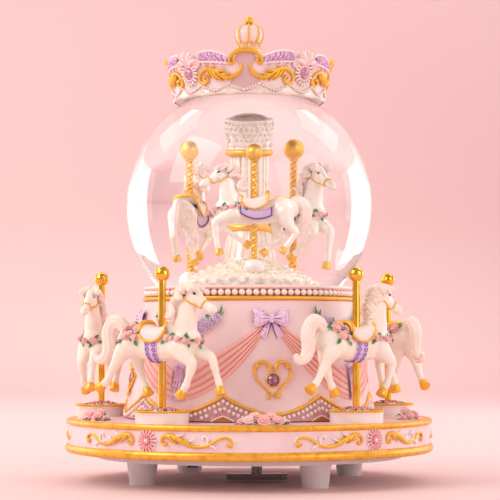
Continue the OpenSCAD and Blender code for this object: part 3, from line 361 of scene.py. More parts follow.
def metal(name, colour, roughness, stretch=(1, 1, 1)):
    """Bare metal with fine lines along the axes that stretch names."""
    finish = Finish(name)
    line = finish.noise(0.6, 4.0, stretch)
    return finish.show(finish.gloss(
        finish.mix(line, colour, tuple(c * 0.8 for c in colour[:3]) + (1.0,)),
        roughness + line * 0.12, finish.bump(line, 0.03, 0.4), Metallic=1.0))


def moulded(name, colour, roughness):
    finish = Finish(name)
    cloud = finish.noise(8.0, 3.0)
    skin = finish.noise(0.5, 2.0)
    darker = tuple(c * 0.88 for c in colour[:3]) + (1.0,)
    # Darker in the creases, which is painted shade, and in random cloudy patches.
    crease_shade_mix = finish.crease_shade(2.5, 1.0) * 0.5 + cloud.between(0.4, 0.9) * 0.3
    return finish.show(finish.gloss(finish.mix(crease_shade_mix, colour, darker),
                                    roughness + skin * 0.08, finish.bump(skin, 0.03, 0.4)))


# ---------------------------------------------------------------- modelling helpers

def at(azimuth, out=0.0, up=0.0):
    """Local x runs along the rim, -y outwards and z up, from a place on the circle."""
    return Matrix.Rotation(radians(azimuth), 4, "Z") @ Matrix.Translation((0, -out, up))


def piece(name, bm, finishes, body, replaces=(), crease=50):
    """Finishes a mesh modelled in millimetres and hangs it on its body."""
    bmesh.ops.recalc_face_normals(bm, faces=bm.faces)
    bmesh.ops.transform(bm, matrix=Matrix.Scale(MM, 4), verts=bm.verts)
    mesh = bpy.data.meshes.new(name)
    bm.to_mesh(mesh)
    bm.free()
    for finish in finishes:
        mesh.materials.append(finish)
    mesh.shade_smooth()
    mesh.set_sharp_from_angle(angle=radians(crease))
    thing = bpy.data.objects.new(name, mesh)
    bpy.context.scene.collection.objects.link(thing)
    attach(thing, body)
    for node in replaces:
        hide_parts(node)


def add(bm, mesh, part=None):
    """Joins a mesh to bm, in finish number part."""
    if part is not None:
        mesh.polygons.foreach_set("material_index", [part] * len(mesh.polygons))
    bm.from_mesh(mesh)
    bpy.data.meshes.remove(mesh)


def stamp(bm, shape, matrix, part=None):
    """Adds a copy of a small mesh."""
    copy = shape.copy()
    copy.transform(matrix)
    add(bm, copy, part)


def small_shape(build):
    """A mesh kept aside for stamping. Each is built alone, so that what an operator
    merges away leaves no holes in a piece's own lists."""
    bm = bmesh.new()
    build(bm)
    bmesh.ops.recalc_face_normals(bm, faces=bm.faces)
    mesh = bpy.data.meshes.new("stamp")
    bm.to_mesh(mesh)
    bm.free()
    return mesh


def turned(bm, profile, steps):
    """Spins a profile of (radius, height) about z."""
    verts = [bm.verts.new((x, 0, z)) for x, z in profile]
    edges = [bm.edges.new(pair) for pair in zip(verts, verts[1:])]
    bmesh.ops.spin(bm, geom=verts + edges, axis=(0, 0, 1), cent=(0, 0, 0), angle=tau,
                   steps=steps, use_merge=True)
    bmesh.ops.remove_doubles(bm, verts=bm.verts, dist=0.0005)


kept = {}


def keep(key, build):
    """A small shape that is built once and then used again."""
    if key not in kept:
        kept[key] = small_shape(build)
    return kept[key]


def ball(bm, centre, size, part=0, around=12, turn=None):
    """A ball, or an egg where size has three numbers."""
    shape = keep(("ball", around), lambda own: bmesh.ops.create_uvsphere(
        own, u_segments=around, v_segments=max(6, around // 2 + 1), radius=1))
    size = size if hasattr(size, "__len__") else (size,) * 3
    stamp(bm, shape, Matrix.Translation(centre) @ (turn or Matrix())
          @ Matrix.Diagonal((*size, 1)), part)


def ring(bm, matrix, radius, thick, part=0, around=24, sides=8):
    """A torus in the matrix's own x-y plane."""
    def build(own):
        bmesh.ops.create_circle(own, segments=sides, radius=thick, matrix=Matrix.Translation(
            (radius, 0, 0)) @ Matrix.Rotation(pi / 2, 4, "X"))
        bmesh.ops.spin(own, geom=own.verts[:] + own.edges[:], axis=(0, 0, 1), cent=(0, 0, 0),
                       angle=tau, steps=around, use_merge=True)

    stamp(bm, keep(("ring", radius, thick, around, sides), build), matrix, part)


def through(points, steps=5, closed=False):
    """A smooth path through points of any number of coordinates."""
    count = len(points)
    pick = (lambda i: points[i % count]) if closed else (
        lambda i: points[max(0, min(count - 1, i))])
    path = []
    for i in range(count if closed else count - 1):
        p0, p1, p2, p3 = (pick(i + k) for k in (-1, 0, 1, 2))
        for step in range(steps):
            t = step / steps
            path.append(tuple(
                b + t / 2 * (c - a + t * (2 * a - 5 * b + 4 * c - d + t * (3 * b - a - 3 * c + d)))
                for a, b, c, d in zip(p0, p1, p2, p3)))
    if not closed:
        path.append(tuple(points[-1]))
    return path


def strands(bm, paths, part=0, sides=2, closed=False, place=None, squash=1.0):
    """Round strands along paths of (x, y, z, radius). place bends them onto a surface."""
    curve = bpy.data.curves.new("strand", "CURVE")
    curve.dimensions = "3D"
    curve.bevel_depth = 1.0
    curve.bevel_resolution = sides
    curve.use_fill_caps = not closed
    for path in paths:
        spline = curve.splines.new("POLY")
        spline.points.add(len(path) - 1)
        for point, (x, y, z, radius) in zip(spline.points, path):
            point.co = (x, y, z, 1)
            point.radius = radius
        spline.use_cyclic_u = closed
    holder = bpy.data.objects.new("strand", curve)
    mesh = bpy.data.meshes.new_from_object(holder)
    bpy.data.objects.remove(holder)
    bpy.data.curves.remove(curve)
    for vert in mesh.vertices:
        if squash != 1.0:
            vert.co.y *= squash
        if place:
            vert.co = place(vert.co)
    add(bm, mesh, part)


def sheet(bm, across, up, place, thickness=0.0, part=0, shade=None):
    """A grid whose point (u, v), each 0 to 1, goes to place(u, v). shade(u, v)
    is painted on it as the attribute fold."""
    own = bmesh.new()
    layer = own.verts.layers.float.new("fold")
    bmesh.ops.create_grid(own, x_segments=across, y_segments=up, size=0.5)
    for vert in own.verts:
        u, v = vert.co.x + 0.5, vert.co.y + 0.5
        vert[layer] = shade(u, v) if shade else 0.0
        vert.co = place(u, v)
    bmesh.ops.remove_doubles(own, verts=own.verts, dist=0.0005)
    if thickness:
        bmesh.ops.recalc_face_normals(own, faces=own.faces)
        bmesh.ops.solidify(own, geom=own.faces[:], thickness=thickness)
    mesh = bpy.data.meshes.new("sheet")
    own.to_mesh(mesh)
    own.free()
    add(bm, mesh, part)


def seed_shape(bm):
    bmesh.ops.create_uvsphere(bm, u_segments=8, v_segments=6, radius=1)


def bloom_shape(bm):
    """A rose from above: three ruffled cups, each turned and standing in the last."""
    for radius, height, turn in ((1.0, 0.5, 0), (0.7, 0.78, 22), (0.38, 0.95, 51)):
        cup = bmesh.ops.create_cone(
            bm, cap_ends=True, segments=10, radius1=radius * 0.55, radius2=radius, depth=height,
            matrix=Matrix.Rotation(radians(turn), 4, "Z") @ Matrix.Translation((0, 0, height / 2)))
        rim = sorted(cup["verts"], key=lambda vert: vert.co.z)[10:]
        for vert in rim:
            side = degrees(atan2(vert.co.y, vert.co.x)) - turn
            if round(side / 36) % 2:
                vert.co.x *= 0.82
                vert.co.y *= 0.82
                vert.co.z -= 0.16


def leaf_shape(bm):
    """A pointed leaf lying along y, folded up on both sides of its midrib."""
    bmesh.ops.create_grid(bm, x_segments=2, y_segments=4, size=0.5)
    for vert in bm.verts:
        side, along = vert.co.x * 2, vert.co.y + 0.5
        width = 0.42 * sin(pi * min(1.0, 0.12 + 0.88 * along)) if along > 0 else 0.08
        vert.co = (side * width, along * 1.6, 0.22 * abs(side) * width + 0.3 * along * (1 - along))
    bmesh.ops.solidify(bm, geom=bm.faces[:], thickness=0.1)


def star_shape(bm):
    """A small five-petalled flower."""
    for petal in range(5):
        turn = Matrix.Rotation(tau * petal / 5, 4, "Z")
        bmesh.ops.create_cone(bm, cap_ends=True, segments=5, radius1=0.42, radius2=0.2, depth=0.35,
                              matrix=turn @ Matrix.Translation((0.58, 0, 0.15))
                              @ Matrix.Diagonal((1.1, 0.8, 1, 1)))
    bmesh.ops.create_cone(bm, cap_ends=True, segments=6, radius1=0.34, radius2=0.18, depth=0.5,
                          matrix=Matrix.Translation((0, 0, 0.3)))


seed = small_shape(seed_shape)
bloom = small_shape(bloom_shape)
leaf = small_shape(leaf_shape)
star = small_shape(star_shape)


def facing(point, normal, size=1.0, turn=0.0):
    """Places a stamp at point with its z along normal."""
    normal = Vector(normal).normalized()
    return (Matrix.Translation(point) @ normal.to_track_quat("Z", "Y").to_matrix().to_4x4()
            @ Matrix.Rotation(radians(turn), 4, "Z") @ Matrix.Scale(size, 4))


def sprig(bm, place, normal, size, turn, parts=(0, 1)):
    """A rose with two leaves beside it."""
    stamp(bm, bloom, facing(place, normal, size, turn), parts[0])
    for side in (70, 230):
        base = facing(place, normal, size * 0.95, turn + side) @ Matrix.Translation((0, 0.7, 0.1))
        stamp(bm, leaf, base, parts[1])


# ---------------------------------------------------------------- horses

OUTER_COUNT = 5
OUTER_CIRCLE = 63.0
OUTER_AZIMUTH = -31.5
OUTER_HORSE_Z = 54.6
INNER_AZIMUTHS = (5, 138, 250)
INNER_CIRCLE = 18.8
INNER_HORSE_Z = 108.9
INNER_SCALE = 0.7
INNER_STRETCH = 1.1

# Stations (forward, left, up, radius) from the middle of the barrel
TORSO = ((-15.2, 0, 1.9, 4.9), (-12, 0, 1.7, 6.1), (-7, 0, 0.3, 5.7), (0, 0, -0.2, 6.0),
         (6, 0, 0.4, 6.2), (10.4, 0, 1.2, 5.6), (13.2, 0, 2.4, 4.0))
NECK = ((9.6, 0, 3.4, 5.6), (10.6, 0, 7.4, 4.9), (11.2, 0, 12, 4.1), (12.2, 0, 17, 3.4),
        (13.4, 0, 20, 3.1))
HEAD = ((12.6, 0, 20.6, 2.7), (14.6, 0, 18.9, 3.0), (17.4, 0, 16.5, 2.35), (20.2, 0, 14.8, 1.9),
        (22.3, 0, 13.8, 1.95), (23.2, 0, 13.2, 1.5))
MANE = ((14.2, 0, 21.7), (11.8, 0, 22.1), (9.2, 0, 20.9), (7.4, 0, 18.0), (6.3, 0, 14.4),
        (5.9, 0, 10.6), (6.3, 0, 7.0))
# Legs as stations from the hip or shoulder down, hind right and left, fore right and left
GALLOP = (
    ((-13.4, -2.2, 0, 4.7), (-16.0, -3, -2.6, 3.6), (-18.6, -3.2, -6.0, 2.3),
     (-20.6, -3.2, -9.2, 1.75), (-22.4, -3.2, -12.2, 1.35), (-23.9, -3.2, -14.2, 1.5),
     (-25.2, -3.2, -15.2, 1.45)),
    ((-12.2, 2.4, -0.6, 4.5), (-13.2, 3, -4.4, 3.2), (-13.0, 3.1, -8.0, 2.2),
     (-12.2, 3.1, -10.2, 1.75), (-11.0, 3.1, -13.2, 1.35), (-10.0, 3.1, -15.2, 1.5),
     (-9.3, 3.1, -16.6, 1.45)),
    ((9.2, -2.6, -0.8, 4.3), (12.8, -3.1, -4.2, 3.1), (15.4, -3.3, -6.6, 2.1),
     (14.9, -3.2, -9.6, 1.75), (13.8, -3.2, -12.6, 1.35), (12.7, -3.2, -15.2, 1.5),
     (11.4, -3.2, -17.0, 1.4)),
    ((10.8, 2.6, -0.4, 4.1), (15.8, 3.1, -2.8, 2.9), (20.0, 3.3, -4.6, 1.9),
     (21.4, 3.2, -8.0, 1.6), (22.4, 3.2, -11.0, 1.3), (23.3, 3.2, -13.6, 1.45),
     (23.8, 3.2, -15.6, 1.4)))
TROT = (
    ((-13.4, -2.2, 0, 4.7), (-14.4, -3, -4.4, 3.4), (-16.6, -3.2, -7.8, 2.3),
     (-18.4, -3.2, -10.0, 1.8), (-16.8, -3.2, -13.0, 1.4), (-14.8, -3.2, -16.0, 1.5),
     (-13.4, -3.2, -17.8, 1.4)),
    ((-12.2, 2.4, -0.6, 4.5), (-10.4, 3, -5.0, 3.2), (-10.6, 3.1, -9.0, 2.2),
     (-12.0, 3.1, -12.0, 1.7), (-9.6, 3.1, -14.6, 1.4), (-7.4, 3.1, -16.6, 1.5),
     (-5.6, 3.1, -18.2, 1.4)),
    ((9.2, -2.6, -0.8, 4.3), (14.0, -3.1, -3.2, 3.0), (17.4, -3.3, -5.4, 2.0),
     (17.3, -3.2, -9.4, 1.6), (17.0, -3.2, -13.0, 1.3), (16.6, -3.2, -16.6, 1.45),
     (16.2, -3.2, -18.8, 1.4)),
    ((10.6, 2.6, -0.6, 4.1), (13.6, 3.1, -3.8, 2.9), (15.0, 3.3, -6.2, 1.9),
     (11.8, 3.2, -8.6, 1.6), (8.6, 3.2, -10.8, 1.3), (5.4, 3.2, -13.0, 1.45),
     (3.6, 3.2, -14.4, 1.4)))
GALLOP_TAIL = ((-16.4, 0, 5.0), (-19.4, 0, 8.6), (-22.8, 0, 8.6), (-24.9, 0, 4.6), (-24.6, 0, -0.6),
               (-26.2, 0, -4.4), (-29.6, 0, -5.6), (-31.2, 0, -3.4))
TROT_TAIL = ((-16.4, 0, 4.0), (-19.6, 0, 5.2), (-22.4, 0, 2.6), (-22.8, 0, -2.4), (-21.6, 0, -7.0),
             (-20.2, 0, -11.0))
SEAT_ARC = (-3.4, 16.4, 10.0)        # forward, up and radius of the arc that one sits in
FLAP_ARC = (-3.9, 8.2, 6.8)          # and of the arc that the saddle ends at


def fused(build, voxel, passes):
    """Melts overlapping solids into one skin, as modelled in clay."""
    bm = bmesh.new()
    build(bm)
    bmesh.ops.recalc_face_normals(bm, faces=bm.faces)
    rough = bpy.data.meshes.new("clay")
    bm.to_mesh(rough)
    bm.free()
    clay = bpy.data.objects.new("clay", rough)
    bpy.context.scene.collection.objects.link(clay)
    melt = clay.modifiers.new("melt", "REMESH")
    melt.mode = "VOXEL"
    melt.voxel_size = voxel
    bpy.context.view_layer.update()
    skin = bmesh.new()
    skin.from_object(clay, bpy.context.evaluated_depsgraph_get())
    bpy.data.objects.remove(clay)
    for _ in range(passes):
        bmesh.ops.smooth_vert(skin, verts=skin.verts, factor=0.5, use_axis_x=True,
                              use_axis_y=True, use_axis_z=True)
    return skin


def limb(bm, stations, flat=1.0):
    """A muscle or bone through stations, rounded at both ends."""
    path = through(stations, 6)
    strands(bm, [path], sides=5, squash=flat)
    for x, y, z, radius in (path[0], path[-1]):
        ball(bm, (x, y * flat, z), (radius, radius * flat, radius), around=16)


def horse_clay(bm, legs):
    limb(bm, TORSO, 0.88)
    limb(bm, NECK, 0.72)
    limb(bm, HEAD, 0.78)
    ball(bm, (9.4, 0, 1.2), (5.6, 5.2, 5.6), around=20)
    ball(bm, (15.0, 0, 18.2), (2.7, 2.5, 2.7), around=16)
    ball(bm, (22.3, 0, 13.5), (1.9, 1.75, 1.75), around=16)
    for side in (-1, 1):
        ball(bm, (-12.2, side * 2.4, 0.8), (5.4, 3.6, 5.6), around=20)
        ball(bm, (9.0, side * 2.6, -0.2), (4.4, 3.2, 5.2), around=20)
        ball(bm, (14.4, side * 1.5, 17.4), (2.2, 1.1, 2.3), around=14)
        ball(bm, (22.9, side * 1.05, 14.2), (0.8, 0.6, 0.7), around=10)
    for leg in legs:
        limb(bm, leg)
        joint, fetlock = leg[3], leg[5]
        ball(bm, joint[:3], [joint[3] * 1.08] * 3, around=12)
        ball(bm, fetlock[:3], [fetlock[3] * 1.08] * 3, around=12)


def hoof(bm, leg, part):
    """A hoof under the pastern, wider at the sole."""
    above, end = Vector(leg[-2][:3]), Vector(leg[-1][:3])
    down = (end - above).normalized()
    frame_turn = (-down).to_track_quat("Z", "X").to_matrix().to_4x4()

    def build(own):
        cone = bmesh.ops.create_cone(own, cap_ends=True, segments=20, radius1=2.25, radius2=1.62,
                                     depth=3.3)
        rims = [edge for edge in {e for v in cone["verts"] for e in v.link_edges}
                if sum(len(face.verts) > 4 for face in edge.link_faces) == 1]
        bmesh.ops.bevel(own, geom=rims, offset=0.4, segments=2, affect="EDGES", profile=0.5,
                        material=-1)

    stamp(bm, small_shape(build), Matrix.Translation(end + down * 1.2) @ frame_turn, part)


def cast(tree, origin, away, lift=0.1):
    """Where a line from outside, coming from away, first meets the skin."""
    away = Vector(away).normalized()
    point, normal, _, _ = tree.ray_cast(Vector(origin) + away * 30, -away)
    if point is None:
        return Vector(origin), away
    return point + normal * lift, normal


def along_skin(tree, points, radius, lift=0.1):
    """A strand path laid on the skin. Each point is an origin and a direction."""
    path = []
    for origin, away in points:
        point, _ = cast(tree, origin, away, lift)
        path.append((*point, radius))
    return through(path, 3)


def mane_locks(bm, part, curl):
    """Locks that leave the crest of the neck, fall in waves and end in a curl."""
    crest = through(MANE, 4)
    paths = []
    for k, (x, _, z) in enumerate(crest[::2]):
        low = k / (len(crest) / 2)
        for side in (-1, 1):
            length = (5.8 + 1.5 * sin(k * 2.1 + side)) * min(1.0, 0.35 + 3.2 * low)
            path = []
            for i in range(9):
                t = i / 8
                wave = sin(t * 6.6 + k * 1.7) * (0.5 + curl * t)
                hook = max(0.0, t - 0.7) / 0.3
                x_i = x - 0.5 + t * (3.1 - 4.4 * low) - wave * 0.8 - hook * (1.2 + curl)
                z_i = z + 0.6 - length * t * (0.6 + 0.4 * low) + 0.5 * wave + hook * (0.9 + curl)
                y_i = side * (0.7 + 2.6 * sin(min(1.0, t * 1.3) * pi / 2) + 0.3 * hook)
                path.append((x_i, y_i, z_i, 1.3 * (1 - t) ** 0.45 + 0.2))
            paths.append(through(path, 3))
    for s in (-1, 1):
        for j in range(2):
            paths.append(through([(13.4 - j + 0.55 * i, s * (0.5 + 0.3 * i + 0.5 * j),
                                   22.4 - 0.2 * j - (0.4 + 0.1 * j) * i + 0.4 * sin(2.2 * i + j),
                                   0.95 - 0.14 * i) for i in range(5)], 3))
    crest_path = [(x + 0.6, 0, z - 0.6, 1.75) for x, _, z in crest]
    strands(bm, paths + [crest_path], part, sides=2)


def tail_locks(bm, line, part):
    """A bundle of locks twisting about the tail's line."""
    core = through(line, 5)
    count = len(core)
    paths = []
    for k in range(7):
        path = []
        for i, (x, y, z) in enumerate(core):
            t = i / (count - 1)
            x2, _, z2 = core[min(i + 1, count - 1)]
            x1, _, z1 = core[max(i - 1, 0)]
            run = hypot(x2 - x1, z2 - z1)
            side_x, side_z = -(z2 - z1) / run, (x2 - x1) / run
            fat = 1.75 * sin(pi * min(1.0, 0.2 + 0.8 * t)) ** 0.6 if t < 0.95 else 0.5
            turn = tau * k / 7 + 1.4 * t
            off = fat * (0.25 if k == 0 else 0.95)
            path.append((x + side_x * off * cos(turn), y + off * 0.8 * sin(turn),
                         z + side_z * off * cos(turn), 0.35 + fat * 0.55))
        paths.append(path)
    strands(bm, paths, part, sides=2)


def barrel(x, angle, lift):
    """A point on the barrel at x, angle degrees round from the belly."""
    for (x0, _, z0, r0), (x1, _, z1, r1) in zip(TORSO, TORSO[1:]):
        if x <= x1 or (x1, r1) == (TORSO[-1][0], TORSO[-1][3]):
            t = max(0.0, min(1.0, (x - x0) / (x1 - x0)))
            z, radius = z0 + (z1 - z0) * t, r0 + (r1 - r0) * t
            break
    a = radians(angle)
    return Vector((x, 0.88 * (radius + lift) * sin(a), z - (radius + lift) * cos(a)))


def arc_height(arc, x):
    forward, up, radius = arc
    return up - sqrt(max(0.0, radius ** 2 - (x - forward) ** 2))


def saddle(bm, seat_part, edge_part, ahead=0.0, tilt=0.0):
    """A seat that dips between cantle and pommel, with a gold edge round its flaps."""
    rear, fore, half = -9.2, 2.5, 6.0

    def skin(u, v, lift=0.0):
        x = rear + (fore - rear) * (0.5 - 0.5 * cos(pi * u))
        low, high = arc_height(FLAP_ARC, x), arc_height(SEAT_ARC, x)
        side = 2 * v - 1
        turn = abs(side) * pi / 2
        tip = abs(2 * u - 1) ** 3
        y = (half + lift) * sin(turn) ** 0.75 * (1 - 0.1 * tip)
        z = low + (high - low + 0.5) * cos(turn) ** 0.55 + lift * cos(turn)
        z += tilt * ((rear + fore) / 2 - x)
        return Vector((x + ahead, -y if side < 0 else y, z))

    sheet(bm, 22, 30, skin, 0.7, seat_part)
    for side in (0.0, 1.0):
        edge = [(*skin(i / 24, side, 0.1), 0.42 + 0.3 * abs(i / 12 - 1) ** 2) for i in range(25)]
        strands(bm, [edge], edge_part, sides=3)
    for u, thick in ((0.0, 0.95), (1.0, 0.5)):
        rim = [(*(skin(u, 0.03 + 0.94 * i / 16) + Vector((0, 0, 0.1))), thick) for i in range(17)]
        strands(bm, [rim], edge_part, sides=3)


def girth_band(bm, band_part, ring_part):
    """A strap round the belly with two rows of rings."""
    rear, fore, lift = -4.6, 1.0, 0.35

    def skin(u, v):
        swell = 0.12 * (1 - (2 * u - 1) ** 8)
        return barrel(rear + (fore - rear) * u, -112 + 224 * v, lift + swell)

    sheet(bm, 6, 36, skin, 0.4, band_part)
    for x in (rear + 1.25, fore - 1.25):
        for k in range(11):
            angle = -95 + 19 * k
            place = barrel(x, angle, lift + 0.2)
            away = place - barrel(x, angle, -3)
            ring(bm, facing(place, away), 0.72, 0.2, ring_part, around=10, sides=5)


def blanket(bm, cloth_part, line_part, edge_part):
    """A saddle cloth on each flank, bent as the saddle is, with a dark line inside its edge."""
    rear, fore = -8.6, 7.8
    for side in (-1, 1):
        def skin(u, v, lift=0.3):
            bend = (2 * u - 1) ** 2
            low, high = 48 + 20 * bend + 12 * u, 94 + 28 * bend + 18 * u
            return barrel(rear + (fore - rear) * u, side * (low + (high - low) * v),
                          lift + 0.25 * (1 - v))

        sheet(bm, 20, 8, skin, 0.4, cloth_part)
        for inset, part, thick in ((0.14, line_part, 0.24), (0.0, edge_part, 0.26)):
            a, b = inset * 0.55, inset
            corners = ([(a + (1 - 2 * a) * i / 16, b) for i in range(17)]
                       + [(1 - a, b + (0.9 - b) * i / 6) for i in range(1, 6)]
                       + [(1 - a - (1 - 2 * a) * i / 16, 0.9) for i in range(17)]
                       + [(a, 0.9 - (0.9 - b) * i / 6) for i in range(1, 6)])
            strands(bm, [[(*skin(u, v, 0.62), thick) for u, v in corners]], part, closed=True)


def ear_shape(bm):
    """A pointed ear, scooped in front."""
    bmesh.ops.create_uvsphere(bm, u_segments=12, v_segments=8, radius=1)
    for vert in bm.verts:
        height = min(1.0, max(0.0, (vert.co.z + 1) / 2))
        width = 0.95 * (1 - height ** 2.2) ** 0.8 + 0.05
        scoop = 1.4 * height * (1 - height) if vert.co.x > 0 else 0
        vert.co = (vert.co.x * width * 0.7 - scoop * 0.6, vert.co.y * width, height * 3.0 - 0.6)


def ears(bm, part):
    shape = small_shape(ear_shape)
    for side in (-1, 1):
        stamp(bm, shape, Matrix.Translation((12.6, side * 1.7, 21.5))
              @ Matrix.Rotation(radians(-14 * side), 4, "X")
              @ Matrix.Rotation(radians(-14), 4, "Y"), part)


def garland(bm, tree, places, size, parts):
    """Roses and leaves on the skin. Each place is (origin, direction away, turn)."""
    for k, (origin, away, turn) in enumerate(places):
        point, normal = cast(tree, origin, away, 0.02)
        sprig(bm, point, normal.lerp(Vector(away).normalized(), 0.4),
              size * (1 + 0.18 * sin(k * 2.3)), turn + 67 * k, parts)


def horse_model(legs, tail, curl, strap, rump_roses, seat_ahead=0.0, tilt=0.0):
    """A whole horse in its own frame, as meshes of clay, hair, tack and flowers."""
    skin = fused(lambda bm: horse_clay(bm, legs), 0.36, 5)
    tree = BVHTree.FromBMesh(skin)
    body, hair, tack, flowers = (bmesh.new() for _ in range(4))
    clay = bpy.data.meshes.new("clay")
    skin.to_mesh(clay)
    skin.free()
    body.from_mesh(clay)
    ears(body, 0)
    for leg in legs:
        hoof(body, leg, 1)
    for side in (-1, 1):
        eye, _ = cast(tree, (15.6, 0, 19.3), (0.15, side, 0.1), 0.0)
        ball(body, eye, (0.8, 0.35, 0.62), 2, 12)
        lid = [(eye.x - 1.15 + 0.36 * i, eye.y + side * 0.1, eye.z + 0.3 - 0.12 * i
                + 0.62 * sin(pi * i / 6), 0.17) for i in range(7)]
        strands(body, [lid], 3)
        nostril, _ = cast(tree, (23.3, 0, 14.2), (0.5, side, 0.1), 0.0)
        ball(body, nostril, (0.28, 0.16, 0.2), 3, 8)
    mane_locks(hair, 0, curl)
    tail_locks(hair, tail, 0)
    for side in (-1, 1):
        cheek = [((10.6 + 1.35 * i, 0, 18.3 - 0.8 * i), (0, side, -0.05 * i)) for i in range(6)]
        strands(tack, [along_skin(tree, cheek, strap)], 1)
        nose = [((17.4 + 0.57 * i, 0, 14.3 + 0.42 * i), (0.1, side, -0.9 + 0.3 * i))
                for i in range(7)]
        strands(tack, [along_skin(tree, nose, strap)], 1)
    saddle(tack, 0, 1, seat_ahead, tilt)
    chest = [((3.6 + 1.9 * i, 0, 2.6 - 0.35 * i), (0.02 * i ** 2, side, 0.15), 0)
             for side in (-1, 1) for i in range(5)]
    chest += [((9, 0, 1.4), (1.0, y, 0.05), 0) for y in (-0.62, -0.2, 0.22, 0.64)]
    garland(flowers, tree, chest, 1.45, (0, 1))
    garland(flowers, tree, [((10.2, 0, 18.6), (0, side, 0.1), 40) for side in (-1, 1)], 1.0, (0, 1))
    if rump_roses:
        rump = [((x, 0, z), (0, side, up), 0) for side in (-1, 1) for x, z, up in (
            (-9.4, 3.6, 0.6), (-11.4, 4.4, 0.9), (-11.4, 2.2, 0.4), (-13.6, 3.4, 0.8),
            (-13.2, 1.4, 0.35), (-9.4, 1.2, 0.3))]
        garland(flowers, tree, rump, 1.95, (0, 1))
    return body, hair, tack, flowers


def placed(bm, matrix):
    """A copy of a mesh, moved to its place. A mirrored copy is turned the right way out."""
    copy = bm.copy()
    bmesh.ops.transform(copy, matrix=matrix, verts=copy.verts)
    if matrix.is_negative:
        bmesh.ops.reverse_faces(copy, faces=copy.faces)
    return copy


# ---------------------------------------------------------------- drum

def drum_r(z):
    return DRUM_TOP_R + DRUM_FLARE * (DRUM_RING_Z - z)


def hem_z(azimuth):
    """Height of the scalloped gold line at an azimuth."""
    t = abs(((azimuth - DRUM_AZIMUTH) * SCALLOPS / 360) % 1 * 2 - 1)
    return HEM_HIGH - (HEM_HIGH - HEM_LOW) * (1 - (1 - t) ** HEM_POWER)


def on_drum(azimuth, z0, lift=0.0):
    """Bends what is modelled flat, with x along, z up and -y outwards, onto the drum."""
    def place(p):
        z = z0 + p.z
        radius = drum_r(z) + lift - p.y
        a = radians(azimuth) + p.x / (drum_r(z) + lift)
        return Vector((radius * sin(a), -radius * cos(a), z))
    return place


def on_ring(azimuth, z0, radius, slope=0.0):
    """The same, onto a band of the given radius, which grows by slope upwards."""
    def place(p):
        out = radius + slope * p.z - p.y
        a = radians(azimuth) + p.x / radius
        return Vector((out * sin(a), -out * cos(a), z0 + p.z))
    return place


def drum_point(azimuth, z, lift=0.0):
    a = radians(azimuth)
    radius = drum_r(z) + lift
    return Vector((radius * sin(a), -radius * cos(a), z))


def drum_trim():
    """The gold ring under the pearls, the scalloped hem and a small arch under each peak."""
    bm = bmesh.new()
    ring(bm, Matrix.Translation((0, 0, DRUM_RING_Z + 0.9)), DRUM_TOP_R + 0.2, 0.8, around=128,
         sides=10)
    steps = 36
    hem = []
    for i in range(SCALLOPS * steps):
        azimuth = DRUM_AZIMUTH + 360 / SCALLOPS * i / steps
        hem.append((*drum_point(azimuth, hem_z(azimuth), 0.35), 0.62 + 0.12 * sin(i * 0.9)))
    strands(bm, [hem], closed=True)
    half, foot, top = 5.2, 25.7, 27.6
    for k in range(SCALLOPS):
        peak = DRUM_AZIMUTH + 360 / SCALLOPS * (k + 0.5)
        arch = [(*drum_point(peak + half * t, foot + (top - foot) * (1 - abs(t) ** 1.25), 0.3),
                 0.34) for t in [i / 8 - 1 for i in range(17)]]
        strands(bm, [arch], 2)
        sheet(bm, 8, 2, lambda u, v: drum_point(
            peak + half * (2 * u - 1),
            foot - 0.2 + v * (top - foot) * (1 - abs(2 * u - 1) ** 1.25), 0.16), 0.12, 1)
    piece("gold_hem", bm, [gold, amber, bead_white], "root", ["drum_trim"])


def hem_pearls():
    """Two rows of small pearls that follow the hem."""
    bm = bmesh.new()
    pitch, size, lobe = 1.9, 0.84, 360 / SCALLOPS
    for away in (1.65, 3.75):
        def row(azimuth):
            slope = (hem_z(azimuth + 0.1) - hem_z(azimuth - 0.1)) / radians(0.2) / DRUM_TOP_R
            return drum_point(azimuth, hem_z(azimuth) - away * min(1.5, hypot(1, slope)), 0.25)

        azimuth, walked = DRUM_AZIMUTH, pitch
        while azimuth < DRUM_AZIMUTH + 360:
            spot = row(azimuth)
            near_peak = abs(((azimuth - DRUM_AZIMUTH) / lobe) % 1 - 0.5) * lobe
            if walked >= pitch:
                walked = 0.0
                if spot.z > DRUM_Z + 0.8 and (near_peak > 6.0 or spot.z > 28.4):
                    stamp(bm, seed, Matrix.Translation(spot) @ Matrix.Scale(size, 4))
            azimuth += 0.2
            walked += (row(azimuth) - spot).length
    piece("hem_pearls", bm, [pearly], "root")


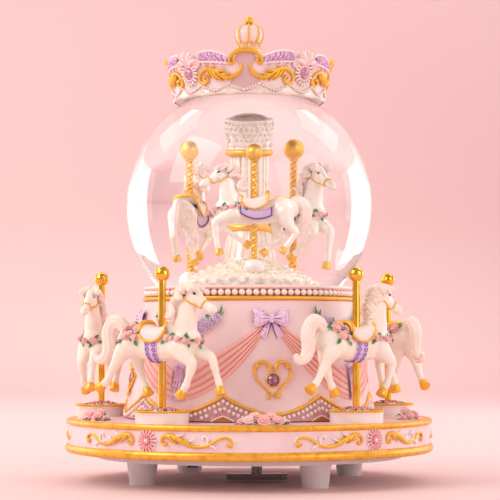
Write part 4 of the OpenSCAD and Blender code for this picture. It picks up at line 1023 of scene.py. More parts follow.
def drapery():
    """Swags from each bow to where two of them are tied, and the lace that hangs there."""
    bm = bmesh.new()
    start, end, low, folds = 4.5, 41.0, 33.4, 5

    def height(u, v):
        top = BOW_Z - 1.8 - 18.0 * u ** 0.92
        bottom = BOW_Z - 6.4 - (BOW_Z - 6.4 - low) * (1 - (1 - u) ** 1.6)
        return top + (bottom - top) * v

    def fold(u, v):
        phase = folds * v ** 1.15 + 0.25 * sin(3 * u + 2 * v)
        return abs(sin(pi * phase)) ** 0.65

    for k in range(FRONTS):
        for side in (-1, 1):
            def skin(u, v):
                azimuth = DRUM_AZIMUTH + QUARTER * k + side * (start + (end - start) * u * (
                    1 - 0.13 * v * (1 - u)))
                swell = 0.35 + 0.7 * fold(u, v) * (0.6 + 0.4 * sin(pi * min(1, u * 1.1)))
                edge = min(1.0, 9 * v, 9 * (1 - v))
                return drum_point(azimuth, height(u, v), 0.1 + swell * edge)

            # The fold attribute is high on the swags' ridges and low in their valleys: painted
            # light and shade.
            sheet(bm, 40, 64, skin, 0.25, 0,
                  lambda u, v: 0.15 + 0.8 * fold(u, v) ** 1.4)
    for k in range(FRONTS):
        tie = DRUM_AZIMUTH + QUARTER * (k + 0.5)

        def lace(u, v):
            z = 47.0 - 13.5 * v
            wide = 1.3 + 1.5 * v
            ripple = 0.4 * sin(pi * 6 * u + 2 * v)
            return drum_point(tie + degrees(wide * (2 * u - 1) / drum_r(z)), z + 0.5 * ripple * v,
                              1.3 + ripple)

        sheet(bm, 20, 16, lace, 0.25, 1, lambda u, v: 0.4 + 0.35 * sin(pi * 6 * u + 9 * v))
        knot = [(*drum_point(tie + 2.4 * t, 46.9 + 0.4 * cos(3 * t), 1.6), 0.75) for t in
                [i / 3 - 1 for i in range(7)]]
        strands(bm, [knot], 1, sides=3)
    piece("drapery_swags", bm, [drape, bow_lilac], "root", ["drapery"])


def ribbon_bows():
    """Puffed loops that are pinched at the knot, and two forked tails."""
    bm = bmesh.new()

    def loop(bm, place, side):
        def skin(u, v):
            angle = tau * v
            open_out = sin(pi * min(1.0, 0.08 + 0.92 * u) * 0.62) ** 1.1
            tall = 0.6 + 3.1 * open_out
            deep = 0.45 + 1.15 * sin(pi * min(1.0, 0.15 + 0.8 * u))
            crease = 1 - 0.2 * (1 - 0.7 * u) * (1 + cos(6 * angle)) / 2
            lip = 1 - 0.35 * max(0.0, (u - 0.86) / 0.14) ** 2
            x = side * (0.5 + 6.6 * u - 0.5 * cos(angle) ** 2 * u)
            return place(Vector((x, -0.95 - deep * cos(angle) * crease * lip,
                                 0.25 + tall * sin(angle) * crease * lip + 0.5 * u)))

        def shade(u, v):
            rays = 0.5 + 0.5 * cos(tau * 9 * v + 1.5)
            return rays ** 2.2 * (1.25 - 0.9 * u) + (0.8 if u > 0.97 else 0)

        sheet(bm, 18, 40, skin, 0.0, 0, shade)

    for k in range(FRONTS):
        place = on_drum(DRUM_AZIMUTH + QUARTER * k, BOW_Z, 0.3)
        for side in (-1, 1):
            loop(bm, place, side)

            def tail(u, v):
                notch = 1.7 * (1 - abs(2 * u - 1)) * max(0.0, v - 0.72) / 0.28
                wide = 0.6 + 1.5 * v
                x = side * (0.8 + 3.7 * v ** 1.15) + wide * (2 * u - 1)
                z = -0.9 - 7.0 * v + notch + 0.35 * side * (2 * u - 1) * v
                y = -0.55 - 0.35 * cos(3 * pi * (u - 0.5)) - 0.4 * v * (1 - v)
                return place(Vector((x, y, z)))

            sheet(bm, 8, 14, tail, 0.4, 0,
                  lambda u, v: (0.5 + 0.5 * cos(tau * 3 * u)) ** 1.6 * (1.15 - 0.5 * v))
        knot = [(0.85 * cos(t), -1.4, 0.15 + 1.25 * sin(t), 0.55) for t in
                [tau * i / 10 for i in range(10)]]
        strands(bm, [knot], closed=True, place=place)
        strands(bm, [[(x, -1.6, z, 0.42) for z in (-1.1, -0.4, 0.4, 1.3)]
                     for x in (-0.5, 0.05, 0.55)], place=place)
    bmesh.ops.remove_doubles(bm, verts=bm.verts, dist=0.001)
    piece("ribbon_bows", bm, [bow_lilac], "root", ["ribbon_bows"])


def curl(centre, start, turns, outer, inner, thick, steps=16):
    """A spiral from its outer end inwards, flat in x and z."""
    path = []
    for i in range(steps + 1):
        t = i / steps
        a = radians(start) + tau * turns * t
        radius = outer + (inner - outer) * t
        path.append((centre[0] + radius * cos(a), 0.0, centre[1] + radius * sin(a),
                     thick * (1 - 0.35 * t)))
    return path


def heart_frames():
    """Gold wire hearts with a flower at each shoulder and at the foot."""
    bm = bmesh.new()
    half = through([(1.6, -0.1, 3.1, 0.72), (1.0, -0.1, 4.3, 0.74), (2.3, 0, 6.0, 0.8),
                    (4.6, 0, 6.5, 0.62), (6.3, 0, 5.0, 0.52), (7.1, 0, 2.6, 0.5),
                    (6.2, 0, -0.2, 0.46), (3.7, 0, -3.0, 0.46), (1.2, 0, -5.2, 0.46),
                    (0.0, 0, -6.0, 0.4)], 5)
    foot = through([(-0.4, 0, -5.8, 0.36), (-1.7, 0, -5.9, 0.4), (-2.5, 0, -6.8, 0.38),
                    (-1.8, 0, -7.6, 0.34), (-1.0, 0, -7.1, 0.3)], 4)
    for k in range(FRONTS):
        place = on_drum(DRUM_AZIMUTH + QUARTER * k, HEART_Z, 0.5)
        strands(bm, [foot], place=place)
        for side in (-1, 1):
            strands(bm, [[(side * x, y, z, r) for x, y, z, r in half]], place=place)
        for x, z, size in ((-6.1, 5.0, 1.5), (6.1, 5.0, 1.5), (1.6, -6.4, 1.4)):
            spot = place(Vector((x, -0.6, z)))
            for petal in range(5):
                a = tau * petal / 5 + 0.3
                tip = place(Vector((x + size * cos(a), -0.45, z + size * sin(a))))
                strands(bm, [[(*spot, 0.4), (*((spot + tip) / 2), 0.5), (*tip, 0.16)]])
            ball(bm, spot, 0.5, 0, 10)
    piece("heart_frames", bm, [gold], "root", ["heart_frames"])


def cut_gem(bm, matrix, wide, tall, deep, part=0, sides=12):
    """A faceted stone: girdle, crown facets and a flat table."""
    def build(own):
        profile = ((0.0, -0.4), (0.92, -0.4), (1.0, 0.0), (0.78, 0.6), (0.48, 1.0), (0.0, 1.0))
        turned(own, profile, sides)
        for vert in own.verts:
            if 0.5 < vert.co.z < 0.9:
                vert.co = Matrix.Rotation(pi / sides, 3, "Z") @ vert.co

    stamp(bm, small_shape(build), matrix @ Matrix.Diagonal((wide, tall, deep, 1)), part)


def heart_gems():
    bm = bmesh.new()
    for k in range(FRONTS):
        spot = drum_point(DRUM_AZIMUTH + QUARTER * k, HEART_Z - 0.5, 0.2)
        matrix = facing(spot, (spot.x, spot.y, 7))
        cut_gem(bm, matrix, 2.5, 2.5, 1.3, 0)
        ring(bm, matrix @ Matrix.Translation((0, 0, 0.25)), 2.6, 0.3, 1, 28, 6)
        for claw in range(8):
            stamp(bm, seed, matrix @ Matrix.Rotation(tau * claw / 8, 4, "Z")
                  @ Matrix.Translation((2.45, 0, 0.5)) @ Matrix.Scale(0.3, 4), 1)
    piece("heart_gems", bm, [amethyst, gold], "root", ["heart_gems"], 12)


def wall_bouquets():
    """Two sprays of lavender from a knot of roses, over each tie of the swags."""
    bm = bmesh.new()
    for k in range(FRONTS):
        middle = DRUM_AZIMUTH + QUARTER * (k + 0.5)
        for side in (-1, 1):
            for i in range(36):
                t = i / 35
                turn = 2.4 * i
                wide = 2.4 * sin(pi * (0.14 + 0.78 * t)) + 0.2
                azimuth = middle + side * (3.5 + 15.0 * t) + degrees(
                    wide * 0.7 * cos(turn) / drum_r(BOW_Z))
                z = BOW_Z - 5.8 + 6.6 * t ** 1.1 + wide * 0.8 * sin(turn)
                spot = drum_point(azimuth, z, 1.3 + 0.9 * sin(turn * 1.7) * (1 - 0.6 * t))
                kind = leaf if i % 9 == 3 else star
                stamp(bm, kind, facing(spot, (spot.x, spot.y, 10 * sin(turn)),
                                       1.6 - 0.5 * t if kind == star else 1.9, 50 * i),
                      1 if kind == leaf else 3 * (i % 3 == 0))
            for i in range(9):
                place = on_drum(middle + side * (15.0 + 0.5 * i), BOW_Z - 0.4 + 0.35 * i, 0.6)
                lean = radians(20 + 18 * (i % 5))
                for reach, part in ((2.6 + 0.3 * (i % 3), 1), (3.2 + 0.3 * (i % 3), 3)):
                    strands(bm, [[(side * t * reach * cos(lean), -0.5 * t, t * reach * sin(lean),
                                   0.3 * (1 - 0.6 * t)) for t in (0 if part == 1 else 0.75, 1)]],
                            part, place=place)
        for i, (x, z) in enumerate(((0, -5.2), (-2.6, -4.4), (2.6, -4.6), (-1.2, -7.2), (1.6, -7.0),
                                    (0.2, -2.9))):
            spot = on_drum(middle, BOW_Z, 0.6)(Vector((x, 0, z)))
            sprig(bm, spot, (spot.x, spot.y, 0), 2.1, 47 * i, (2, 1))
    piece("wall_bouquets", bm, [floret, leaf_green, rose_coral, pale_floret], "root",
          ["wall_bouquets"])


# ---------------------------------------------------------------- turntable

def rim_scrolls():
    """Acanthus scrolls and a daisy for each stretch of the rim."""
    bm = bmesh.new()
    stem = through([(8.7, -0.5, -0.6, 0.75), (7.7, -0.4, -1.3, 0.6), (6.6, -0.3, -0.6, 0.55),
                    (6.6, -0.3, 0.8, 0.6), (7.7, -0.4, 1.9, 0.72), (9.9, -0.5, 2.1, 0.85),
                    (12.4, -0.5, 1.5, 0.9), (14.9, -0.5, 0.5, 0.9), (17.0, -0.4, -0.8, 0.8),
                    (19.1, -0.3, -1.7, 0.7), (21.6, -0.3, -1.9, 0.66), (23.6, -0.3, -1.6, 0.68),
                    (25.4, -0.3, -1.0, 0.66), (27.2, -0.3, 0.1, 0.62), (29.1, -0.3, 1.2, 0.6),
                    (31.5, -0.3, 1.6, 0.6), (33.3, -0.3, 1.0, 0.6), (34.1, -0.3, -0.3, 0.62),
                    (33.4, -0.3, -1.4, 0.7), (32.6, -0.4, -1.1, 0.85), (32.6, -0.5, -0.7, 0.85)], 4)
    leaves = [through(path, 4) for path in (
        [(8.8, -0.6, 2.1, 0.6), (10.6, -0.9, 0.9, 0.66), (12.4, -0.5, -0.4, 0.4),
         (13.2, -0.2, -1.1, 0.1)],
        [(10.8, -0.6, 1.9, 0.6), (12.4, -1.0, 0.9, 0.66), (14.0, -0.6, -0.2, 0.4),
         (14.9, -0.2, -0.9, 0.1)],
        [(12.8, -0.6, 1.4, 0.6), (14.6, -1.0, 0.2, 0.66), (16.4, -0.6, -1.2, 0.44),
         (17.8, -0.2, -2.1, 0.1)],
        [(9.4, -0.5, 1.6, 0.5), (10.2, -0.7, 0.4, 0.46), (11.6, -0.3, -0.4, 0.12)],
        [(15.4, -0.4, 0.4, 0.5), (17.2, -0.6, 0.3, 0.42), (18.6, -0.3, 0.6, 0.14)])]
    tips = [through(path, 4) for path in (
        [(12.0, -0.4, 1.9, 0.6), (14.2, -0.5, 2.2, 0.46), (15.8, -0.2, 3.3, 0.12)],
        [(16.6, -0.4, -0.1, 0.5), (18.6, -0.5, 0.5, 0.4), (20.2, -0.2, 1.4, 0.12)],
        [(25.4, -0.3, -1.2, 0.5), (27.0, -0.4, -1.9, 0.5), (27.9, -0.2, -3.1, 0.16)],
        [(24.2, -0.3, -1.3, 0.5), (24.8, -0.3, 0.2, 0.5), (24.6, -0.3, 1.5, 0.52),
         (23.6, -0.3, 2.1, 0.5), (22.7, -0.3, 1.6, 0.46), (22.9, -0.4, 0.8, 0.42)])]
    # A white strand along the upper side of each scroll's end stands in for its highlight: painted
    # highlight.
    edge = [(x + 0.35, -0.05, z + 0.3, r) for x, _, z, r in stem[40:]]
    petals = 16
    for k in range(OUTER_COUNT):
        middle = OUTER_AZIMUTH + 360 / OUTER_COUNT * k
        place = on_ring(middle, RIM_MIDDLE, BAND_R + 0.05)
        for side in (-1, 1):
            for part, paths in ((0, [stem, *leaves]), (2, [*tips, edge])):
                strands(bm, [[(side * x, y, z, r) for x, y, z, r in path] for path in paths], part,
                        place=place)
        spot = place(Vector((0, 0, 0)))
        matrix = facing(spot, (spot.x, spot.y, 0))
        for i in range(petals):
            turn = matrix @ Matrix.Rotation(tau * i / petals, 4, "Z")
            ball(bm, (0, 0, 0), 1.0, 1, 12,
                 turn @ Matrix.Translation((2.7, 0, 0.3))
                 @ Matrix.Rotation(-0.12, 4, "Y") @ Matrix.Diagonal((1.5, 0.5, 0.55, 1)))
            ball(bm, (0, 0, 0), 1.0, 2, 8, turn @ Matrix.Translation((3.95, 0, 0.4))
                 @ Matrix.Diagonal((0.42, 0.44, 0.34, 1)))
        for i in range(9):
            turn = matrix @ Matrix.Rotation(tau * i / 9, 4, "Z")
            ball(bm, (0, 0, 0), 1.0, 1, 8, turn @ Matrix.Translation((1.15, 0, 0.8))
                 @ Matrix.Diagonal((0.55, 0.34, 0.34, 1)))
        ball(bm, (0, 0, 0), 1.0, 2, 16, matrix @ Matrix.Translation((0, 0, 0.85))
             @ Matrix.Diagonal((0.8, 0.8, 0.6, 1)))
    piece("rim_scrolls", bm, [gold, daisy_pink, crown_white], "turntable", ["rim_ornaments"])


def pedestal_dress():
    """A beaded gold edge and a wreath of small roses round each pole."""
    bm = bmesh.new()
    count = 60
    for k in range(OUTER_COUNT):
        base = at(OUTER_AZIMUTH + 360 / OUTER_COUNT * k, OUTER_CIRCLE, 0)
        for i in range(count):
            a = tau * i / count
            stamp(bm, seed, base @ Matrix.Translation((10.15 * cos(a), 10.15 * sin(a), 29.75))
                  @ Matrix.Scale(0.5, 4), 0)
        ring(bm, base @ Matrix.Translation((0, 0, 29.3)), 10.2, 0.3, 0, 48, 6)
        for i in range(16):
            a = tau * i / 16 + 0.2 * sin(5 * i)
            radius = 3.0 + 1.7 * (i % 2)
            spot = base @ Vector((radius * cos(a), radius * sin(a), 30.5 - 0.22 * (radius - 3)))
            sprig(bm, spot, (0.3 * cos(a), 0.3 * sin(a), 1), 1.05, 71 * i, (1, 2))
    piece("pedestal_wreaths", bm, [gold, rose_coral, leaf_green], "turntable")


def rose_clusters():
    """Heaps of open roses with leaves, between the pedestals."""
    bm = bmesh.new()
    for k in range(OUTER_COUNT):
        middle = OUTER_AZIMUTH + 360 / OUTER_COUNT * (k + 0.5)
        for i, (turn, out, up, size) in enumerate((
                (-4.6, 66.2, 0.7, 2.8), (0.2, 66.9, 0.8, 2.9), (4.8, 66.2, 0.7, 2.7),
                (-2.3, 63.6, 2.0, 2.7), (2.6, 63.6, 1.9, 2.7), (-7.4, 64.6, 0.3, 2.0),
                (7.6, 64.4, 0.3, 2.0))):
            spot = at(middle + turn) @ Vector((0, -out, DECK_Z + up))
            away = Vector((spot.x, spot.y, 0)).normalized() * 0.8 + Vector((0, 0, 1))
            away += Vector((0.3 * sin(3 * i), 0.3 * cos(2 * i), 0))
            stamp(bm, bloom, facing(spot, away, size, 31 * i), 0 if i % 3 else 2)
            for j in range(2):
                a = radians(150 * j + 40 * i)
                stamp(bm, leaf, facing(spot + Vector((cos(a), sin(a), 0)) * size * 0.7
                                       + Vector((0, 0, 0.1)), (0.6 * cos(a), 0.6 * sin(a), 1),
                                       1.5, degrees(a) + 30), 1)
    piece("rose_heaps", bm, [rose_coral, leaf_green, rose_pale], "turntable",
          ["rose_clusters"])


# ---------------------------------------------------------------- globe and what stands in it

GLOBE_Z = 111.0
GLOBE_R = 50.0
GLASS_T = 2.0
NECK_R = 30.5
NECK_Z = 63.2
MOUND_Z = 83.0
INNER_GROUND = 89.2
INNER_POLE_TOP = 128.0
COLUMN_TOP = 138.0
CAPITAL_LOW = 128.4


def globe():
    """The glass ball on its neck: an outer skin, and an inner one that meets water."""
    bm = bmesh.new()
    for radius, neck, part in ((GLOBE_R, NECK_R, 0), (GLOBE_R - GLASS_T, NECK_R - GLASS_T, 1)):
        reach = pi - asin(neck / radius)
        profile = [(radius * sin(reach * i / 60), GLOBE_Z + radius * cos(reach * i / 60))
                   for i in range(61)]
        profile[0] = (0.0, GLOBE_Z + radius)
        stamp(bm, small_shape(lambda own: turned(own, profile + [(neck, NECK_Z)], 120)),
              Matrix(), part)
    bmesh.ops.bridge_loops(bm, edges=[edge for edge in bm.edges if edge.is_boundary])
    piece("glass_globe_shell", bm, [glass_outer, glass_inner], "root", ["glass_globe"],
          180)


def mound():
    """A low hill covered with flowers in relief, and a white dome under each pole."""
    bm = bmesh.new()
    line = through([(1.8, 78.0), (22.2, 78.05), (24.2, 80.0), (25.0, 82.4), (24.2, 84.6),
                    (20.8, 86.9), (13.0, 91.6), (8.6, 93.6), (3.0, 93.7)], 8)
    walked = [0.0]
    for (r1, z1), (r2, z2) in zip(line, line[1:]):
        walked.append(walked[-1] + hypot(r2 - r1, z2 - z1))
    edge = walked[8]
    rows = ((edge + 1.6, 23.4, 33), (edge + 4.6, 24.8, 26), (edge + 7.6, 24.4, 31),
            (edge + 10.8, 22.0, 24), (edge + 14.4, 18.8, 21), (edge + 18.0, 15.6, 17),
            (edge + 21.4, 12.6, 13))

    def relief(a, s, r):
        swell = 0.0
        for k, (along, radius, count) in enumerate(rows):
            if abs(s - along) < 2.6:
                near = ((a / tau * count + 0.37 * k) % 1 - 0.5) * tau / count * r
                gap = hypot(near, s - along)
                petal = 1.55 * (1 + 0.28 * cos(5 * atan2(near, s - along) + k))
                swell = max(swell, 0.6 * max(0.0, 1 - (gap / petal) ** 2)
                            + 0.3 * max(0.0, 1 - (gap / 0.5) ** 2))
        return swell + 0.1 * sin(11 * a + s) * sin(s * 2.9)

    def skin(u, v):
        s = edge * 0.9 + (walked[-1] - edge * 0.9) * v
        i = max(k for k in range(len(line) - 1) if walked[k] <= s)
        t = (s - walked[i]) / (walked[i + 1] - walked[i])
        (r1, z1), (r2, z2) = line[i], line[i + 1]
        run = hypot(r2 - r1, z2 - z1)
        swell = relief(tau * u, s, r1) * min(1.0, (s - edge * 0.9) / 2) - 0.35
        r = r1 + (r2 - r1) * t + swell * (z2 - z1) / run
        z = z1 + (z2 - z1) * t - swell * (r2 - r1) / run
        a = tau * u
        return Vector((r * sin(a), -r * cos(a), max(z, 78.0)))

    sheet(bm, 260, 64, skin)
    stamp(bm, small_shape(lambda own: turned(own, ((21.0, 78.4), (20.0, 78.0), (1.8, 78.0)), 64)),
          Matrix(), 0)
    for azimuth in INNER_AZIMUTHS:
        spot = at(azimuth, INNER_CIRCLE, INNER_GROUND - 0.4) @ Vector()
        ball(bm, spot, (3.8, 3.8, 2.9), 1, 28)
    piece("flower_mound", bm, [mound_white, pearly_white], "inner_carousel", ["inner_mound"],
          35)


def column_dress():
    """Flutes on the column's foot and shaft, and a carved lattice round its head."""
    bm = bmesh.new()
    low, high, count = CAPITAL_LOW + 0.5, COLUMN_TOP - 0.5, 12
    for k in range(20):
        a = tau * k / 20
        for (z1, r1), (z2, r2) in (((93.9, 8.1), (102.8, 6.25)), ((104.6, 5.6), (127.0, 5.6))):
            strands(bm, [[(r * sin(a), -r * cos(a), z, thick)
                          for z, r, thick in ((z1, r1, 0.2), (z1 + 0.5, r1 - 0.1, 0.55),
                                              (z2 - 0.5, r2 - 0.05, 0.45), (z2, r2, 0.2))]],
                    sides=3)

    def shell(turn, z, lift=0.15):
        radius = 6.3 + 0.7 * (z - CAPITAL_LOW) / 9.6 + lift
        return (radius * sin(turn), -radius * cos(turn), z)

    for k in range(count):
        for way in (-1, 1):
            strands(bm, [[(*shell(tau * (k + way * 1.5 * i / 16) / count,
                                  low + (high - low) * i / 16), 0.36) for i in range(17)]],
                    1, sides=1)
    rows = 5
    for row in range(rows):
        z = low + (high - low) * (row + 0.5) / rows
        for k in range(2 * count):
            turn = tau * (k + 0.5 * (row % 2)) / (2 * count)
            spot = Vector(shell(turn, z, 0.2 + 0.35 * (k % 2)))
            stamp(bm, star, facing(spot, (spot.x, spot.y, 4 * sin(7 * k + row)),
                                   0.8 + 0.2 * sin(3 * k + row), 36 * row + 20 * k), 1)
    ball(bm, (0, 0, COLUMN_TOP - 0.6), (6.3, 6.3, 2.4), 2, 40)
    for z, radius in ((CAPITAL_LOW + 0.4, 6.45), (COLUMN_TOP - 0.4, 7.0)):
        ring(bm, Matrix.Translation((0, 0, z)), radius, 0.45, 1, 48, 8)
    piece("column_carving", bm, [column_white, crystal, column_cap], "inner_carousel")


def column_bands():
    """A thick gold ring under the capital and one on the column's foot."""
    bm = bmesh.new()
    for z in (103.95, 127.55):
        ring(bm, Matrix.Translation((0, 0, z)), 6.15, 1.15, 0, 64, 14)
    piece("column_bands", bm, [old_gold], "inner_carousel", ["column_rings"])


def twisted_poles():
    """Each pole is three wires twisted like a rope, under a ball."""
    bm = bmesh.new()
    foot, pitch = MOUND_Z + 4, 3.9
    for azimuth in INNER_AZIMUTHS:
        axis = at(azimuth, INNER_CIRCLE, 0)
        for wire in range(3):
            path = []
            steps = 160
            for i in range(steps + 1):
                z = foot + (INNER_POLE_TOP - 2 - foot) * i / steps
                a = tau * (wire / 3 + (z - foot) / pitch)
                path.append((*(axis @ Vector((0.54 * cos(a), 0.54 * sin(a), z))), 0.62))
            strands(bm, [path], sides=1)
        ball(bm, axis @ Vector((0, 0, INNER_POLE_TOP)), 2.9, 0, 32)
        ring(bm, axis @ Matrix.Translation((0, 0, INNER_POLE_TOP - 2.75)), 1.1, 0.35, 0, 20, 8)
    piece("twisted_poles", bm, [old_gold], "inner_carousel", ["inner_poles"])


# ---------------------------------------------------------------- crown

CROWN_AZIMUTH = -2.5
CROWN_Z = 153.3
CROWN_LOW_R = 30.1
CROWN_TOP_R = 32.8
CROWN_H = 14.6
CROWN_TOP = CROWN_Z + CROWN_H
CROWN_SLOPE = (CROWN_TOP_R - CROWN_LOW_R) / CROWN_H
GEM_Z = 162.2
FINIAL_Z = 174.8


def on_crown(azimuth, lift=0.1):
    """Bends what is modelled flat onto the crown's wall, with z as a height."""
    def place(p):
        out = CROWN_LOW_R + CROWN_SLOPE * (p.z - CROWN_Z) + lift - p.y
        a = radians(azimuth) + p.x / (CROWN_LOW_R + CROWN_SLOPE * (p.z - CROWN_Z))
        return Vector((out * sin(a), -out * cos(a), p.z))
    return place


BEAD_AZIMUTH = -3.4
LOBES = 16


def bead_z(azimuth):
    """Height of the string of beads that hangs in lobes round the crown."""
    t = abs(((azimuth - BEAD_AZIMUTH) * LOBES / 360 + 0.5) % 1 * 2 - 1)
    return 157.8 - 2.9 * (1 - t) ** 0.6 * (1 if t < 1 else 0)


def crown_wall():
    """The flared wall, its top edge with four humps, and the low roof that the finial stands on."""
    bm = bmesh.new()
    foot = 156.6
    profile = ((26.4, 153.7), (29.4, 153.3), (30.1, 153.7), (32.7, 167.4), (32.4, 167.9),
               (31.4, 167.9), (30.8, 166.6), (24, 168.2), (14, 170.4), (7.6, 171.4), (5.4, 172.3),
               (4.9, 173.6), (4.7, 175.2), (0.0, 175.2))
    stamp(bm, small_shape(lambda own: turned(own, profile, 128)), Matrix(), 0)
    for k in range(FRONTS):
        place = on_crown(CROWN_AZIMUTH + QUARTER * k, 0.05)
        waist = through([(6.4, foot), (5.2, 159.2), (3.0, 161.6), (2.5, 164.0), (3.9, 166.4),
                         (3.9, 168.2), (1.8, 169.8)], 4)

        def panel(u, v):
            half, z = waist[round(v * (len(waist) - 1))]
            x = half * (2 * u - 1)
            hem = bead_z(CROWN_AZIMUTH + QUARTER * k + degrees(x / CROWN_LOW_R))
            return place(Vector((x, -0.25 * (1 - (2 * u - 1) ** 8),
                                 z + (hem - foot) * (1 - v) ** 6)))

        sheet(bm, 16, len(waist) - 1, panel, 0.3, 1)
    piece("crown_wall", bm, [wall_pink, mauve], "root", ["crown_canopy"], 40)


def crown_gold():
    """Arches over the four fronts, and an acanthus scroll on each side of them."""
    bm = bmesh.new()
    arch = through([(0, -0.7, 170.3, 1.15), (2.4, -0.7, 170.0, 1.1), (4.5, -0.7, 169.0, 0.95),
                    (6.1, -0.7, 167.4, 0.8), (6.5, -0.5, 166.0, 0.7), (5.8, -0.4, 165.1, 0.64),
                    (4.7, -0.4, 165.4, 0.58), (4.5, -0.5, 166.4, 0.48),
                    (5.2, -0.6, 166.7, 0.36)], 5)
    stem = through([(2.0, -0.2, 165.0, 0.34), (1.8, -0.4, 163.6, 0.6), (2.7, -0.5, 161.7, 0.8),
                    (4.6, -0.5, 160.2, 0.9), (7.4, -0.5, 159.7, 1.0), (9.8, -0.5, 160.7, 1.05),
                    (12.0, -0.5, 162.3, 1.0), (14.4, -0.5, 163.4, 0.9), (16.9, -0.4, 163.1, 0.8),
                    (19.0, -0.4, 161.6, 0.76), (19.5, -0.3, 159.6, 0.72), (18.2, -0.3, 157.9, 0.68),
                    (16.1, -0.3, 158.1, 0.64), (15.3, -0.4, 159.6, 0.58), (16.5, -0.5, 160.5, 0.6),
                    (17.3, -0.5, 159.7, 0.6)], 5)
    leaves = [through(path, 4) for path in (
        [(12.2, -0.7, 163.0, 0.5), (10.6, -1.1, 161.4, 0.72), (8.6, -0.9, 159.7, 0.62),
         (6.7, -0.3, 158.5, 0.1)],
        [(13.4, -0.7, 163.0, 0.5), (12.0, -1.1, 161.0, 0.72), (10.3, -0.8, 159.4, 0.56),
         (8.8, -0.3, 158.3, 0.1)],
        [(14.6, -0.7, 162.9, 0.5), (13.2, -1.0, 160.9, 0.66), (11.9, -0.7, 159.6, 0.46),
         (10.9, -0.3, 158.8, 0.1)],
        [(15.6, -0.6, 162.6, 0.45), (14.6, -0.8, 161.0, 0.5), (13.8, -0.3, 160.0, 0.1)],
        [(12.4, -0.7, 162.8, 0.6), (10.0, -1.0, 162.2, 0.62), (8.4, -0.7, 162.4, 0.42),
         (7.4, -0.2, 163.2, 0.1)],
        [(9.6, -0.8, 161.0, 0.6), (7.4, -1.0, 160.7, 0.5), (5.8, -0.3, 161.6, 0.1)])]
    for k in range(FRONTS):
        place = on_crown(CROWN_AZIMUTH + QUARTER * k)
        for side in (-1, 1):
            for path in (arch, stem, *leaves):
                strands(bm, [[(side * x, y, z, r) for x, y, z, r in path]], place=place)
    piece("crown_scrollwork", bm, [gold], "root", ["crown_scrolls"])


def crown_crests():
    """Plumes along the top edge, which sweep from each arch to the next shell."""
    bm = bmesh.new()
    vanes = 8
    for k in range(FRONTS):
        place = on_crown(CROWN_AZIMUTH + QUARTER * k)
        for side in (-1, 1):
            def low_edge(u):
                return 165.0 + 1.4 * u ** 0.6

            def vane(u, v):
                return abs(sin(pi * (vanes * u + 0.15 * sin(9 * v))))

            def plume(u, v, lift=0.0):
                near = min(1.0, 3.5 * u)
                tall = 2.5 + 1.7 * near ** 0.7 + 0.4 * sin(pi * u) - 1.0 * u ** 3
                x = 6.9 + 12.6 * u + 2.9 * v * near * (1 - u ** 6)
                z = low_edge(u) + tall * v + lift
                return place(Vector((side * x, -0.25 - (0.75 + 0.5 * vane(u, v)) * sin(
                    pi * min(1, 0.1 + 0.9 * v)) ** 0.6, z)))

            sheet(bm, 88, 12, plume, 0.0, 0, lambda u, v: 1.1 - 1.2 * vane(u, v) ** 0.7)
            for v, part, thick in ((1.0, 1, 0.5), (0.0, 1, 0.45)):
                strands(bm, [[(*plume(i / 30, v), thick) for i in range(31)]], part)
            for i in range(4):
                t = i / 3
                hook = curl((9.5 + 3.6 * i, 164.7 + 1.1 * t), 80, -0.7, 0.95, 0.3, 0.42)
                strands(bm, [[(side * x, -0.7, z, r) for x, _, z, r in hook]], 2, place=place)
            hook = curl((20.8, 165.4), 40, 1.35, 1.9, 0.5, 0.6)
            strands(bm, [[(side * x, -0.9, z, r) for x, _, z, r in hook]], 2, place=place)
    piece("crown_crests", bm, [plume_lilac, crown_white, petal_pink], "root",
          ["crown_leaves"])


def crown_edge():
    """The humped edge behind the crests, the string of beads, and the ruffled lip under it."""
    bm = bmesh.new()

    def wall(azimuth, z, lift):
        a = radians(azimuth)
        out = CROWN_LOW_R + CROWN_SLOPE * (z - CROWN_Z) + lift
        return Vector((out * sin(a), -out * cos(a), z))

    azimuth, walked = BEAD_AZIMUTH, 1.2
    while azimuth < BEAD_AZIMUTH + 360:
        if walked >= 1.12:
            walked = 0.0
            stamp(bm, seed, Matrix.Translation(wall(azimuth, bead_z(azimuth), 0.5))
                  @ Matrix.Scale(0.56, 4), 0)
        here = wall(azimuth, bead_z(azimuth), 0)
        azimuth += 0.2
        walked += (wall(azimuth, bead_z(azimuth), 0) - here).length

    def lip(u, v):
        azimuth = 360 * u
        ruffle = sin(radians((azimuth - BEAD_AZIMUTH) * LOBES) + pi / 2)
        top = bead_z(azimuth) - 0.3
        z = CROWN_Z + 0.1 + (top - CROWN_Z - 0.1) * v
        return wall(azimuth, z, 0.12 + (0.65 + 0.45 * ruffle) * sin(pi * min(1, 0.15 + v)) ** 2)

    sheet(bm, 320, 8, lip, 0.0, 1)

    def hump(u, v):
        azimuth = 360 * u
        wave = 1.1 + 1.0 * cos(radians(FRONTS * (azimuth - CROWN_AZIMUTH - QUARTER / 2)))
        z = CROWN_TOP - 0.4 + (0.3 + wave) * v
        return wall(azimuth, z, -0.9)

    sheet(bm, 240, 3, hump, 1.0, 2)
    piece("crown_beads", bm, [bead_white, lip_cream, crown_white], "root")


